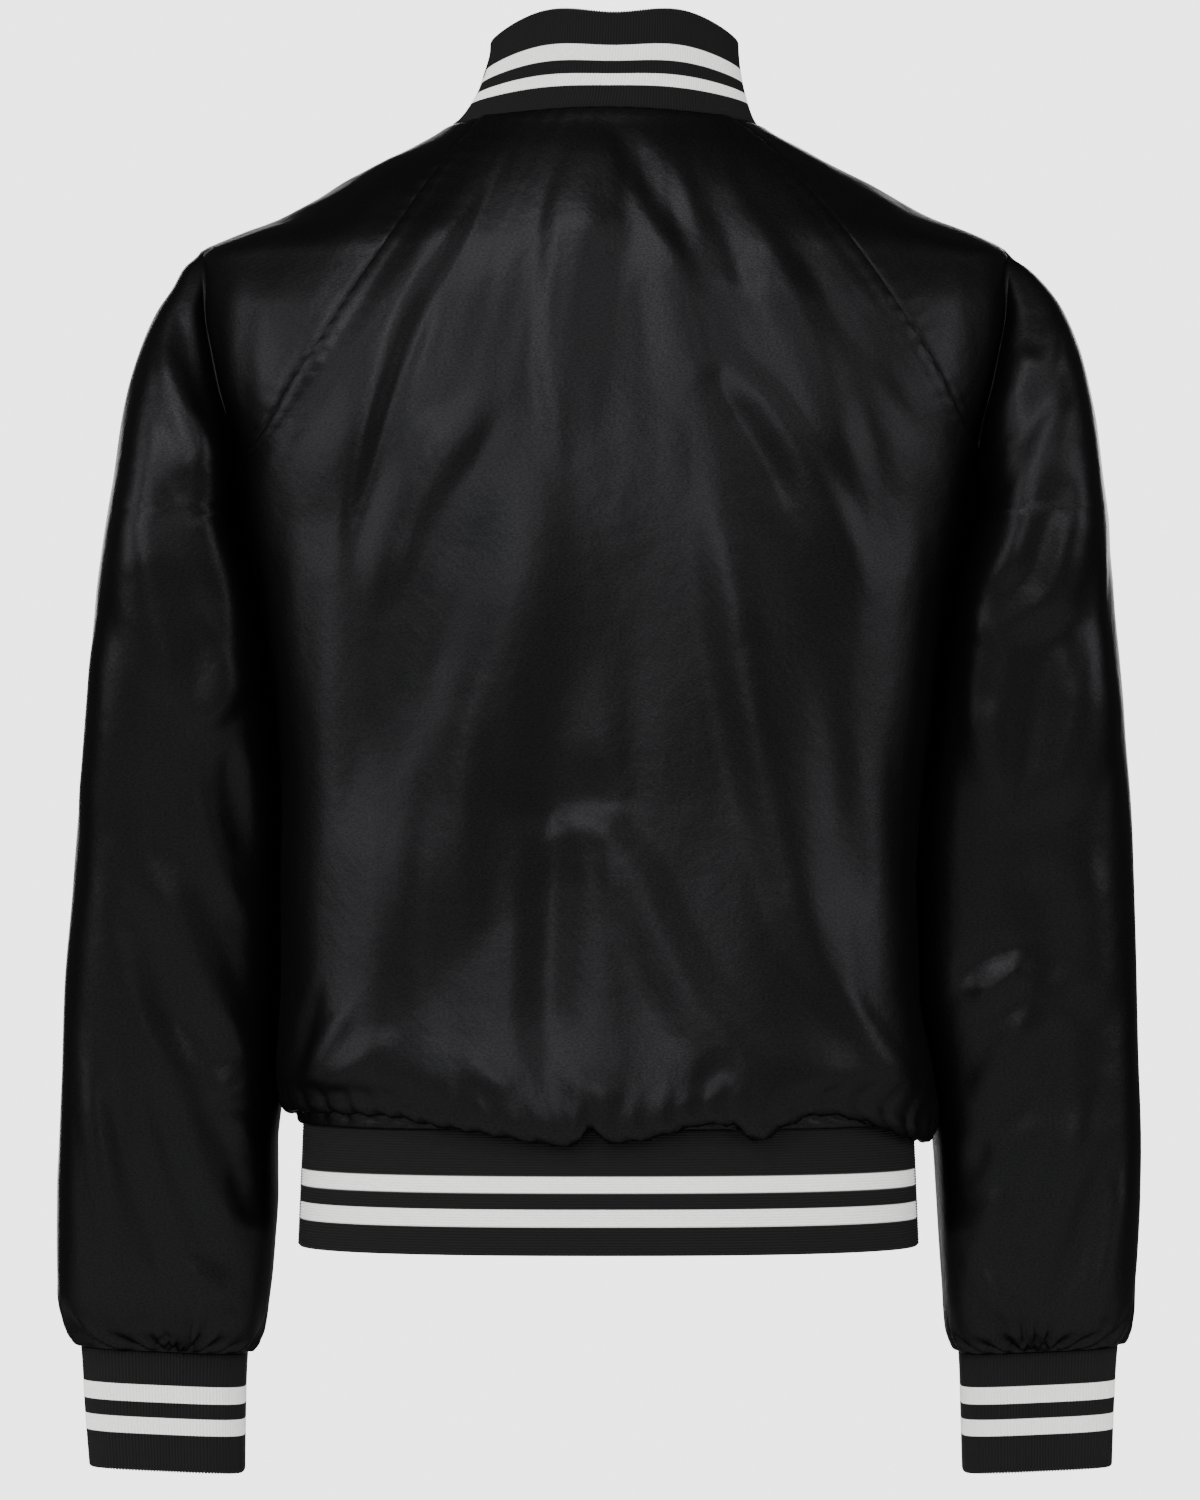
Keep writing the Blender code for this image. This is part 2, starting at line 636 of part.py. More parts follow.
def fold_lift(folds, across, height):
    """Sum of the folds at places in a view: how far each place stands out or in."""
    lift = np.zeros_like(across)
    for route, half_width, depth in folds:
        route = np.asarray(route, float)
        legs = np.linalg.norm(np.diff(route, axis=0), axis=1)
        total = legs.sum()
        nearest = np.full_like(across, np.inf)
        along = np.zeros_like(across)
        run = 0.0
        for k, leg in enumerate(legs):
            way = (route[k + 1] - route[k]) / leg
            on = np.clip((across - route[k, 0]) * way[0] + (height - route[k, 1]) * way[1], 0, leg)
            gap = np.hypot(across - route[k, 0] - on * way[0], height - route[k, 1] - on * way[1])
            closer = gap < nearest
            nearest = np.where(closer, gap, nearest)
            along = np.where(closer, run + on, along)
            run += leg
        taper = ease(along / (0.3 * total)) * ease((total - along) / (0.3 * total))
        lift += depth * (0.25 + 0.75 * taper) * ease(1 - nearest / half_width)
    return lift


def sleeve_fold_lift(across, height, normal_y):
    """Folds of the sleeves: those seen from behind, and similar ones on the hidden front."""
    behind = fold_lift(SLEEVE_FOLDS_BACK, across, height)
    before = fold_lift(SLEEVE_FOLDS_BACK, across, height - FOLD_MIRROR_SHIFT)
    return behind * ease(normal_y / 0.5) + 0.9 * before * ease(-normal_y / 0.5)


# ---------------------------------------------------------------- meshes

def make_material(name):
    colour, roughness, metallic = FINISHES[name]
    material = bpy.data.materials.new(name)
    material.use_nodes = True
    shader = material.node_tree.nodes["Principled BSDF"]
    shader.inputs["Base Color"].default_value = colour
    shader.inputs["Roughness"].default_value = roughness
    shader.inputs["Metallic"].default_value = metallic
    return material


def panel_grid(columns, rows):
    """A flat grid whose points lie at whole steps: columns along X, rows along Y."""
    sheet = bmesh.new()
    bmesh.ops.create_grid(sheet, x_segments=columns, y_segments=rows, size=0.5)
    bmesh.ops.translate(sheet, verts=sheet.verts, vec=(0.5, 0.5, 0))
    bmesh.ops.scale(sheet, verts=sheet.verts, vec=(columns, rows, 1))
    return sheet


def steps_of(sheet):
    places = np.array([vertex.co[:2] for vertex in sheet.verts])
    return places[:, 0], places[:, 1]


def place(sheet, points):
    for vertex, point in zip(sheet.verts, points):
        vertex.co = point


def normals_of(sheet):
    sheet.normal_update()
    return np.array([vertex.normal for vertex in sheet.verts])


def faces_outward(sheet, middle):
    """Turn the faces so that they look away from a middle line at (x, y)."""
    sheet.normal_update()
    outward = sum((face.calc_center_median().x - middle[0]) * face.normal.x
                  + (face.calc_center_median().y - middle[1]) * face.normal.y for face in sheet.faces)
    if outward < 0:
        bmesh.ops.reverse_faces(sheet, faces=sheet.faces)
    sheet.normal_update()


def draw_in_seams(sheet, pairs):
    """Set sewn edges back from the seam line towards their inner steps, and dip them."""
    sheet.normal_update()
    moves = [(inner.co - vertex.co).normalized() * SEAM_SETBACK for vertex, inner in pairs]
    dips = {vertex: vertex.normal * SEAM_DIP for vertex, _ in pairs}
    for (vertex, _), move in zip(pairs, moves):
        vertex.co += move
    for vertex, dip in dips.items():
        vertex.co -= dip


def edge_pairs(sheet, steps, rows, inner_places):
    """Pair each vertex on a sewn edge of the flat grid with those a step inside it."""
    lookup = {(round(s, 3), round(r, 3)): v for s, r, v in zip(steps, rows, sheet.verts)}
    pairs = []
    for s, r, v in zip(steps, rows, sheet.verts):
        for inner in inner_places(s, r):
            mate = lookup.get((round(inner[0], 3), round(inner[1], 3)))
            if mate is not None:
                pairs.append((v, mate))
    return pairs


def finish_piece(name, sheet, wall, finish, collection):
    """Write an open surface as an object with its wall going inward."""
    bmesh.ops.scale(sheet, verts=sheet.verts, vec=(MM, MM, MM))
    mesh = bpy.data.meshes.new(name)
    sheet.to_mesh(mesh)
    sheet.free()
    mesh.shade_smooth()
    mesh.materials.append(finish)
    piece = bpy.data.objects.new(name, mesh)
    collection.objects.link(piece)
    cloth = piece.modifiers.new("wall", "SOLIDIFY")
    cloth.thickness = wall * MM
    cloth.offset = -1
    return piece


def hold_near(distance):
    return ease(distance / HOLD)


def make_back(collection, finish):
    rows = SHOULDER_ROWS + BODY_ROWS + len(BLOUSE)
    sheet = panel_grid(BACK_COLUMNS, rows)
    step, row = steps_of(sheet)
    points = back_points(step, row)
    pairs = edge_pairs(sheet, step, row, lambda s, r: neighbours(s, r, BACK_COLUMNS, True))
    place(sheet, points)
    faces_outward(sheet, (0, 0))
    hold = COLUMN_PITCH * np.minimum(step, BACK_COLUMNS - step)
    hold = np.minimum(hold, ROW_PITCH * np.minimum(row, ROLL_CALM * (rows - row)))
    lift = fold_lift(BACK_FOLDS, points[:, 0], points[:, 2]) * hold_near(hold)
    place(sheet, points + normals_of(sheet) * lift[:, None])
    draw_in_seams(sheet, pairs)
    return finish_piece("back", sheet, SATIN_WALL, finish, collection)


def neighbours(step, row, columns, last_edge):
    """The places a step inside a point on a sewn edge: two at a corner, none away from the edges."""
    places = []
    if step < 1e-6:
        places.append((step + 1, row))
    if last_edge and step > columns - 1e-6:
        places.append((step - 1, row))
    if row < 1e-6:
        places.append((step, row + 1))
    return places


def make_front(side, collection, finish):
    rows = SHOULDER_ROWS + BODY_ROWS + len(BLOUSE)
    sheet = panel_grid(FRONT_COLUMNS, rows)
    step, row = steps_of(sheet)
    points = front_points(side, step, row)
    pairs = edge_pairs(sheet, step, row, lambda s, r: neighbours(s, r, FRONT_COLUMNS, False))
    place(sheet, points)
    faces_outward(sheet, (0, 0))
    hold = COLUMN_PITCH * np.minimum(step, PLACKET_CALM * (FRONT_COLUMNS - step))
    hold = np.minimum(hold, ROW_PITCH * np.minimum(row, ROLL_CALM * (rows - row)))
    lift = fold_lift(FRONT_FOLDS, points[:, 0], points[:, 2]) * hold_near(hold)
    place(sheet, points + normals_of(sheet) * lift[:, None])
    draw_in_seams(sheet, pairs)
    return finish_piece("front_" + side, sheet, SATIN_WALL, finish, collection)


def make_sleeve(side, collection, finish):
    rows = SHOULDER_ROWS + ARM_ROWS
    sheet = panel_grid(SLEEVE_COLUMNS, rows)
    gathered = rows - GATHER_ROWS
    across = [edge for edge in sheet.edges
              if abs(edge.verts[0].co.y - edge.verts[1].co.y) < 0.01
              and edge.verts[0].co.y > gathered - 0.01]
    bmesh.ops.subdivide_edges(sheet, edges=across, cuts=GATHER_SPLITS, use_grid_fill=True)
    step, row = steps_of(sheet)
    points = sleeve_points(side, step, row)
    if side == "right":
        points[:, 0] *= -1
    place(sheet, points)
    pairs = edge_pairs(sheet, step, row, sleeve_neighbours)
    steps = {vertex: (s, r) for vertex, s, r in zip(sheet.verts, step, row)}
    closed = [v for v, (s, r) in steps.items() if r > SHOULDER_ROWS - 0.01
              and min(s, SLEEVE_COLUMNS - s) < 0.01]
    bmesh.ops.remove_doubles(sheet, dist=0.01, verts=closed)
    pairs = [pair for pair in pairs if pair[0].is_valid and pair[1].is_valid]
    step, row = np.array([steps[vertex] for vertex in sheet.verts]).T
    points = np.array([vertex.co for vertex in sheet.verts])
    faces_outward(sheet, (ARM_LINE if side == "left" else -ARM_LINE, ARM_FORWARD))
    normals = normals_of(sheet)
    from_seam = COLUMN_PITCH * np.minimum(step, SLEEVE_COLUMNS - step)
    hold = np.where(row > SHOULDER_ROWS, HOLD, from_seam)
    hold = np.minimum(hold, ROW_PITCH * np.minimum(row, rows - row))
    lift = sleeve_fold_lift(points[:, 0], points[:, 2], normals[:, 1]) * hold_near(hold)
    gather = np.cos(2 * math.pi * GATHERS * step / SLEEVE_COLUMNS)
    near = ease(1 - (points[:, 2] - CUFF_TOP) / GATHER_REACH) * ease(rows - row)
    lift += GATHER_DEPTH * gather * near
    place(sheet, points + normals * lift[:, None])
    draw_in_seams(sheet, pairs)
    return finish_piece("sleeve_" + side, sheet, SATIN_WALL, finish, collection)


def sleeve_neighbours(step, row):
    places = []
    if row <= SHOULDER_ROWS + 1e-6 and step < 1e-6:
        places.append((step + 1, row))
    if row <= SHOULDER_ROWS + 1e-6 and step > SLEEVE_COLUMNS - 1e-6:
        places.append((step - 1, row))
    if row < 1e-6:
        places.append((step, row + 1))
    return places


def make_band(collection, finish):
    sheet = panel_grid(BAND_COLUMNS, BAND_ROWS)
    step, row = steps_of(sheet)
    end = math.pi + LAP / BAND_HALF_WIDTH
    turn = mix(end, -end, step / BAND_COLUMNS)
    points = band_point(turn, mix(BAND_TOP, BAND_BOTTOM, row / BAND_ROWS))
    under = np.where((turn < 0) & (points[:, 1] < 0), under_lap(points[:, 0]), 0)
    points[:, 1] += (KNIT_WALL + LAP_GAP) * under
    place(sheet, points)
    faces_outward(sheet, (0, 0))
    return finish_piece("hem_band", sheet, KNIT_WALL, finish, collection)


def collar_points(part, rise):
    """Collar: from the neck seam (rise 0) up to its top edge (rise 1)."""
    end = math.pi - COLLAR_END_GAP / NECK_HALF_WIDTH
    angle = mix(end, -end, part)
    base = neck_point(angle)
    side = np.abs(np.sin(angle))
    lean = COLLAR_LEAN * mix(COLLAR_LEAN_SHARE, 1, side ** 1.5)
    early = np.sin(math.pi / 2 * np.clip(rise, 0, 1)) ** COLLAR_LEAN_POWER
    behind = ease(1.2 + 2 * np.cos(angle))
    scale = 1 - lean * mix(rise ** 2, early, behind) / np.hypot(base[:, 0], base[:, 1])
    drop = COLLAR_SIDE_DROP * side ** 4 - COLLAR_QUARTER_RISE * np.sin(math.pi * side) ** 2
    drop += COLLAR_FRONT_DROP * ease(-np.cos(angle))
    points = base.copy()
    points[:, 0] = points[:, 0] * scale + COLLAR_SHIFT * early * behind
    points[:, 1] *= scale
    points[:, 2] += COLLAR_SEAT + COLLAR_RISE * rise * (1 - drop)
    return points


def make_collar(collection, finish):
    sheet = panel_grid(COLLAR_COLUMNS, COLLAR_ROWS)
    step, row = steps_of(sheet)
    place(sheet, collar_points(step / COLLAR_COLUMNS, 1 - row / COLLAR_ROWS))
    faces_outward(sheet, (0, 0))
    return finish_piece("collar", sheet, KNIT_WALL, finish, collection)


def make_cuff(side, collection, finish):
    sheet = panel_grid(CUFF_COLUMNS, CUFF_ROWS)
    step, row = steps_of(sheet)
    height = mix(CUFF_TOP - CUFF_GAP, CUFF_BOTTOM, row / CUFF_ROWS)
    angle = mix(math.pi, -math.pi, step / CUFF_COLUMNS)
    middle, half_width, depth, centre = arm_sizes(side, height)
    x, y = arm_oval(angle, middle, half_width, depth, centre)
    points = np.stack([x, y, height + CUFF_TILT * (x - middle)], -1)
    if side == "right":
        points[:, 0] *= -1
    place(sheet, points)
    bmesh.ops.remove_doubles(sheet, verts=sheet.verts, dist=0.05)
    faces_outward(sheet, (ARM_LINE if side == "left" else -ARM_LINE, ARM_FORWARD))
    return finish_piece("cuff_" + side, sheet, KNIT_WALL, finish, collection)


def make_snap(number, place_at, outward, collection, finish):
    """A press-stud cap: a low disc with a rounded rim, its back on the cloth."""
    bpy.ops.mesh.primitive_cylinder_add(vertices=16, radius=SNAP_RADIUS * MM, depth=SNAP_HEIGHT * MM)
    cap = bpy.context.object
    cap.name = f"snap_{number}"
    cap.location = place_at * MM + outward * (SNAP_LIFT + SNAP_HEIGHT / 2) * MM
    cap.rotation_mode = "QUATERNION"
    cap.rotation_quaternion = outward.to_track_quat("Z", "Y")
    cap.data.materials.append(finish)
    rim = cap.modifiers.new("rim", "BEVEL")
    rim.width = SNAP_RIM * MM
    rim.segments = 1
    for old in cap.users_collection:
        old.objects.unlink(cap)
    collection.objects.link(cap)
    return cap


def band_front(height):
    return band_point(np.array([math.pi]), height)[0, 1]


def make_snaps(collection, finish):
    """Five caps down the centre of the left front and one on the hem band."""
    places = [(height, opening_depth) for height in SNAP_HEIGHTS]
    places.append(((BAND_TOP + BAND_BOTTOM) / 2, band_front))
    for number, (height, depth_at) in enumerate(places, 1):
        lean = float(depth_at(height + SNAP_RADIUS) - depth_at(height - SNAP_RADIUS))
        outward = Vector((0, -2 * SNAP_RADIUS, lean)).normalized()
        make_snap(number, Vector((0, float(depth_at(height)), height)), outward, collection, finish)


def build():
    for old in list(bpy.data.objects):
        bpy.data.objects.remove(old)
    collection = bpy.data.collections.new(NAME)
    bpy.context.scene.collection.children.link(collection)
    satin = make_material("black_satin")
    knit = make_material("black_rib_knit")
    enamel = make_material("black_enamel")
    make_back(collection, satin)
    for side in ("left", "right"):
        make_front(side, collection, satin)
        make_sleeve(side, collection, satin)
        make_cuff(side, collection, knit)
    make_collar(collection, knit)
    make_band(collection, knit)
    make_snaps(collection, enamel)


build()
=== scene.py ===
"""Looks of the satin baseball jacket: cloth, knit, studs, stage, light and camera.

Sizes are in millimetres and become metres when a mesh is written. +Z is up, the jacket's front
faces -Y and its left sleeve is at +X. The cloth follows the same forms as its solids, with the
folds, puckers and ribs laid on them.
"""
import json
import math

import bmesh
import bpy
import numpy as np
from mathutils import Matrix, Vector, noise

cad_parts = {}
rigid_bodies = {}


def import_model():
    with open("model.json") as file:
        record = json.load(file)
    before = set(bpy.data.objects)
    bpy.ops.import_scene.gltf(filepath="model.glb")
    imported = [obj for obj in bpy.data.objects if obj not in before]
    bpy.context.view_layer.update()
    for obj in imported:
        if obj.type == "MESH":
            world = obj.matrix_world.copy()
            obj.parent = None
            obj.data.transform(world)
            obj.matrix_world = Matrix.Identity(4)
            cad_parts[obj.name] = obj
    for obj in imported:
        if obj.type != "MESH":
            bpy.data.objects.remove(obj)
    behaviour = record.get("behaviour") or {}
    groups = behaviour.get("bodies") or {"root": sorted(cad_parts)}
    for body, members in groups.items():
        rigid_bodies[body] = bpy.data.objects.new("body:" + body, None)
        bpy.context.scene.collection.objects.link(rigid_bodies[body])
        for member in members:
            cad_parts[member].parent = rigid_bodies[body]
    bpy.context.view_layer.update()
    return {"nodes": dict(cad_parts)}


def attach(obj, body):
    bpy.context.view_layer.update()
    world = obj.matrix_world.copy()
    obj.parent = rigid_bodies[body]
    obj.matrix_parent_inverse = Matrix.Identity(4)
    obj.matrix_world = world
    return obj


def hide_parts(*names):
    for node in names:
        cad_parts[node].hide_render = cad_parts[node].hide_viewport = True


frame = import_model()

MM = 0.001
SMALL_TURN = 0.004
HALVINGS = 40                # steps of each search for where two curves cross

# Cloth
SATIN_WALL = 1.6
KNIT_WALL = 2.8
SEAM_SETBACK = 0.17          # each panel stops this short of the seam line
SEAM_DIP = 0.5               # a sewn edge is drawn in this much
SEAM_EDGE = 3.0              # the strip beside a seam that the stitches hold flat
HOLD = 26.0                  # folds grow from nothing over this distance from a seam

# Neck: an oval seen from above, cut through the shoulders
NECK_HALF_WIDTH = 88
NECK_BACK = 60
NECK_FRONT = 75
NECK_SQUARE = 2.2
NECK_LOWEST = -110.0         # the neck seam is searched for above this height
NECK_SEAM_BACK = 71          # half-width of the neck seam on the back panel
NECK_SEAM_FRONT = 62         # half-width of the neck seam on both fronts together

# Heights
TIP = -78                    # shoulder tip, where the sleeve starts to hang
UNDERARM = -230
BAND_TOP = -577
BAND_BOTTOM = -649.5
CUFF_TOP = -713
CUFF_BOTTOM = -784

# Front opening
LAP = 15                     # each front reaches this far past the centre line
LAP_GAP = 0.6
LAP_RAMP = 28
LAP_CLEAR = 4
PLACKET_FLAT = 22            # the body doesn't blouse within this distance of the opening
BLOUSE_RAMP = 45
SHALLOW_EDGE = 4             # the blouse starts beside the opening without hanging over
PLAIN_START = 0.4            # the cloth starts this far above the band
PLAIN_RISE = 4.2             # height of each plain step beside the opening
BLOUSE_RISE = 30             # the blouse leaves the body this far above the band
TUCK_FROM = -460             # below this the cloth by the opening draws in towards the band

# Hem band
BAND_HALF_WIDTH = 177
BAND_FLARE = 3
BAND_DEPTH = 111
BAND_SHIFT = -2
BAND_SQUARE = 2.5

# Collar
COLLAR_RISE = 56
COLLAR_LEAN = 16             # how far the top edge leans in at the sides
COLLAR_LEAN_SHARE = 0.5      # part of that lean at the middle of the back and front
COLLAR_LEAN_POWER = 0.75     # below 1, more of the lean comes early in the rise
COLLAR_SIDE_DROP = 0.148     # the top edge is lower by these parts of the rise
COLLAR_FRONT_DROP = 0.12
COLLAR_QUARTER_RISE = 0.08   # and higher by this part between the middle and the sides
COLLAR_SHIFT = -5.5          # the top stands a little to the right
COLLAR_END_GAP = 1.6
COLLAR_SEAT = 0.3

# Body, level by level
TORSO_COLUMNS = ("height", "half_width", "shift", "back", "front", "square")
TORSO = (
    (12, 68, 0, 56, 44, 2.20),
    (0, 88, 0, 63, 51, 2.20),
    (-23, 129, 0, 79, 60, 2.25),
    (-52, 183, 0, 94, 70, 2.35),
    (-78, 236, 0, 104, 79, 2.60),
    (-110, 234, 0, 113, 91, 3.10),
    (-150, 228, 0, 120, 105, 3.30),
    (-190, 217, 0, 124, 115, 3.20),
    (-230, 211, 0, 125, 120, 3.00),
    (-270, 200, 0, 124, 122, 3.30),
    (-340, 189.5, 0, 121, 121, 3.50),
    (-400, 183, 3, 118, 120, 3.50),
    (-450, 181.5, 5, 117, 119, 3.50),
    (-500, 181, 5, 118, 119, 3.50),
    (-535, 186, 2, 121, 121, 3.20),
    (-562, 189.5, -1, 124, 124, 2.90),
)

# Raglan seams: how far out each lies at a share of the way from the neck to the underarm
RAGLAN_COLUMNS = ("share", "back_left", "back_right", "front")
RAGLAN = (
    (0.00, NECK_SEAM_BACK, NECK_SEAM_BACK, NECK_SEAM_FRONT),
    (0.05, 80, 87, 70),
    (0.15, 98, 109, 88),
    (0.30, 121, 137, 113),
    (0.46, 146, 163, 140),
    (0.65, 174, 190, 172),
    (0.82, 200, 211, 199),
    (0.90, 222, 222, 222),
    (1.00, 223, 223, 223),
)

# Arms, level by level: distances from the middle of the body
ARM_COLUMNS = ("height", "outer_left", "inner_left", "outer_right", "inner_right", "depth", "centre")
ARMS = (
    (-78, 236, 224, 236, 224, 28, 0),
    (-84, 243, 225, 245, 225, 34, 0),
    (-96, 250, 226, 256, 226, 43, 0),
    (-110, 259, 227, 265, 227, 52, 0),
    (-134, 269, 222, 275, 222, 66, 0),
    (-154, 275, 218, 280, 218, 75, 0),
    (-174, 279, 214, 284, 214, 82, 0),
    (-205, 283, 212, 288, 212, 88, 0),
    (-230, 287, 211.8, 291, 211.8, 89, 0),
    (-250, 290, 206.8, 292, 206.8, 88, 0),
    (-270, 293, 201.2, 294, 201, 86, -1),
    (-340, 300, 190, 300, 190, 79, -7),
    (-400, 305, 186, 305, 180, 72, -15),
    (-450, 309, 186, 308, 176, 68, -21),
    (-500, 314, 186, 310, 172, 66, -28),
    (-550, 317, 187.5, 312, 184.5, 64, -35),
    (-572, 318.5, 189.5, 313, 189, 63, -38),
    (-592, 319.5, 191.5, 313.5, 192, 62, -40),
    (-620, 320.5, 191.5, 313, 194, 60, -43),
    (-650, 320.5, 193.5, 311.5, 196, 58, -47),
    (-680, 320, 196.5, 309, 198.5, 56, -50),
    (-700, 315, 201, 306.5, 201.5, 49, -52),
    (-708, 311.5, 205, 304, 204.5, 42, -53),
    (-713, 307, 209.5, 300.5, 207.5, 36, -53),
    (-750, 305, 211, 298.5, 209, 35, -57),
    (-784, 302.5, 211.5, 297.5, 210, 33, -59),
)
ARM_SQUARE = 3.5
CUFF_GAP = 0.5
CUFF_TILT = 0.045            # the outer side of each cuff sits a little higher
TILT_FROM = -600
TURN_IN = (-668, -689, -701, -709)     # the last rows of a sleeve, closing in on the cuff

# Lower edge of the bloused body as seen from behind: distance to the left, height from the band
HEM_EDGE_COLUMNS = ("across", "height")
HEM_EDGE_BACK = (
    (-200, -12), (-186, -12), (-175, -9), (-152, 1), (-138, 6), (-119, 9), (-96, 1), (-85, -6),
    (-71, 4), (-56, 4), (-28, -3), (-8, -6), (3, -3), (9, 4), (17, -8), (37, -6), (65, -1.5),
    (99, 4), (118, 8), (150, 9), (184, 9), (200, 9),
)
HEM_EDGE_FRONT = (
    (-200, -8), (-150, 3), (-122, -4), (-92, 4), (-60, 3), (60, 3), (92, 2), (124, -4),
    (160, 4), (200, 6),
)

# The blouse, from its seam on the band to where it joins the body:
# how far out, and how high in parts of the edge's height plus a step
BLOUSE = (
    (-0.6, 0.0, 0.4),
    (1.2, 0.0, 0.9),
    (1.9, 0.5, 0.6),
    (3.8, 1.0, 1.9),
    (7.2, 1.0, 0.0),
    (10.6, 1.0, 2.6),
    (12.6, 1.0, 9.5),
)

# Grid counts
SHOULDER_ROWS = 13
SHOULDER_SPACING = 1.2       # the rows lie closer near the neck
NECK_PULL = 4                # how fast the rows leave the neck's own curve
BODY_ROWS = 11
BACK_COLUMNS = 24
FRONT_COLUMNS = 13
SLEEVE_COLUMNS = 24
YOKE_COLUMNS = 5
ARM_ROWS = 18
GATHERS = 18
GATHER_DEPTH = 2.3
GATHER_REACH = 46
EVEN_REACH = 60              # below the underarm the columns grow even over this height
ARM_LINE = 250               # distance from the body's middle to an arm's
ARM_FORWARD = -26
YOKE_SHARE = 0.03             # least share of the sleeve's round taken by each yoke's columns

# Fine looks
CAMERA = (2.9, 4500, -362.5)
VIEW_HEIGHT = 870            # what the picture takes in from top to bottom, at the jacket
SEAM_SWELL = 0.35            # the layers of a seam stand up this much beside it
PUCKER = 0.55
PUCKER_PITCH = 11
PUCKER_REACH = 11
HEM_GATHER = 0.9
STREAK = 1.0                 # height of the long thin streaks that hang down the cloth
FAN_REACH = 300              # the back's streaks fan out over this depth below the collar
SEAM_SPREAD = 60             # columns this close to a seam follow its turns
HUG = 30                     # the arm's folds fade towards the side of the body over this distance
ROLL_HOLD = 40               # folds fade over this distance above the band
PLACKET_HOLD = 24
PLACKET_WIDTH = 26
PLACKET_EDGE = 0.3
STITCH_DIP = 0.25
RIB_DEPTH = 0.75
COLLAR_RIBS = 300
CUFF_RIBS = 168
BAND_RIBS = 45
COLLAR_STRIPES = ((0.241, 0.364), (0.501, 0.665))
CUFF_STRIPES = ((0.278, 0.424), (0.556, 0.696))
BAND_STRIPES = ((0.379, 0.510), (0.641, 0.779))
SHADED_SIDE = 0.16            # half-angle at each side of the band where the stripes are painted black, as painted shade where the band turns away
# painted shade: over this angle the black at the band's sides fades into the stripes
SHADE_FADE = 0.06
SATIN_THREAD = 0.35          # mm from one float of the weave to the next
KNIT_STITCH = 1.3

# Satin. A pattern in the cloth's own plane is per 100 mm, one in space is per metre.
SATIN_SHADES = ("171718", "1f1f20")
SATIN_ROUGH = (0.36, 0.43)
SATIN_METAL = 0.85           # the floats mirror the light like a dull metal
SATIN_SPECULAR = 0.14
SATIN_EDGE_TINT = "282828"
GRAIN = (60.0, 110.0, 1.0)   # 1.7 x 0.9 mm: coarser than the thread, so that it shows
SLUBS = 55.0                 # 1.8 mm apart
CRINKLE = 70.0               # 14 mm apart
CLOUDS = 9.0                 # 110 mm apart
# Knit
YARN_BLACK = ("070708", "0f0f10")
YARN_WHITE = ("d8d8d5", "fafaf8")
FUZZ = 900.0                 # 1.1 mm apart
# Streaks: share of the full width at the collar, and share of their height there
FAN_NARROW = 0.42
FAN_OPENING = 0.58            # what is added further down, to reach 1
FAN_GENTLE = 0.45
FAN_RISE = 0.55

# Cut of each piece: flat size, area in square metres, how it is held and what it joins
CUTS = {
    "back": ((0.50, 0.66), 0.275, "draped", ("collar", "hem_band")),
    "front": ((0.28, 0.62), 0.135, "draped", ("collar", "hem_band")),
    "sleeve": ((0.46, 0.80), 0.30, "draped", ("collar",)),
    "collar": ((0.47, 0.057), 0.0265, "stretched", ("back", "front_left", "front_right")),
    "hem_band": ((0.98, 0.073), 0.0714, "stretched", ("back", "front_left", "front_right")),
    "cuff": ((0.265, 0.072), 0.0190, "stretched", ("sleeve",)),
}

# Lights: name, place, what it faces, width and height, watts
LIGHTS = (
    ("key_left", (1500, 3200, 1300), (0, 0, -300), (500, 1500), 56),
    ("key_right", (-1300, 3300, 1400), (0, 0, -300), (500, 1500), 22),
    ("key_above", (600, 2700, 2700), (0, 0, -200), (1800, 700), 64),
    ("panel_left", (3400, 1700, 400), (0, 0, -350), (2200, 2600), 98),
    ("panel_right", (-3400, 1700, 400), (0, 0, -350), (2200, 2600), 88),
    ("strip_middle", (450, 4700, 300), (0, 0, -350), (900, 1900), 64),
    ("front_softbox", (-500, -4000, 400), (0, 0, -300), (2400, 1600), 165),
    ("front_strip", (1200, -4200, -100), (0, 0, -300), (900, 2000), 60),
)
WORLD_STRENGTH = 0.4         # what the cloth reflects
BACKDROP_STRENGTH = 4.0      # what the camera sees behind the jacket
FLOOR_RADIUS = 1300
FLOOR_HEIGHT = -960


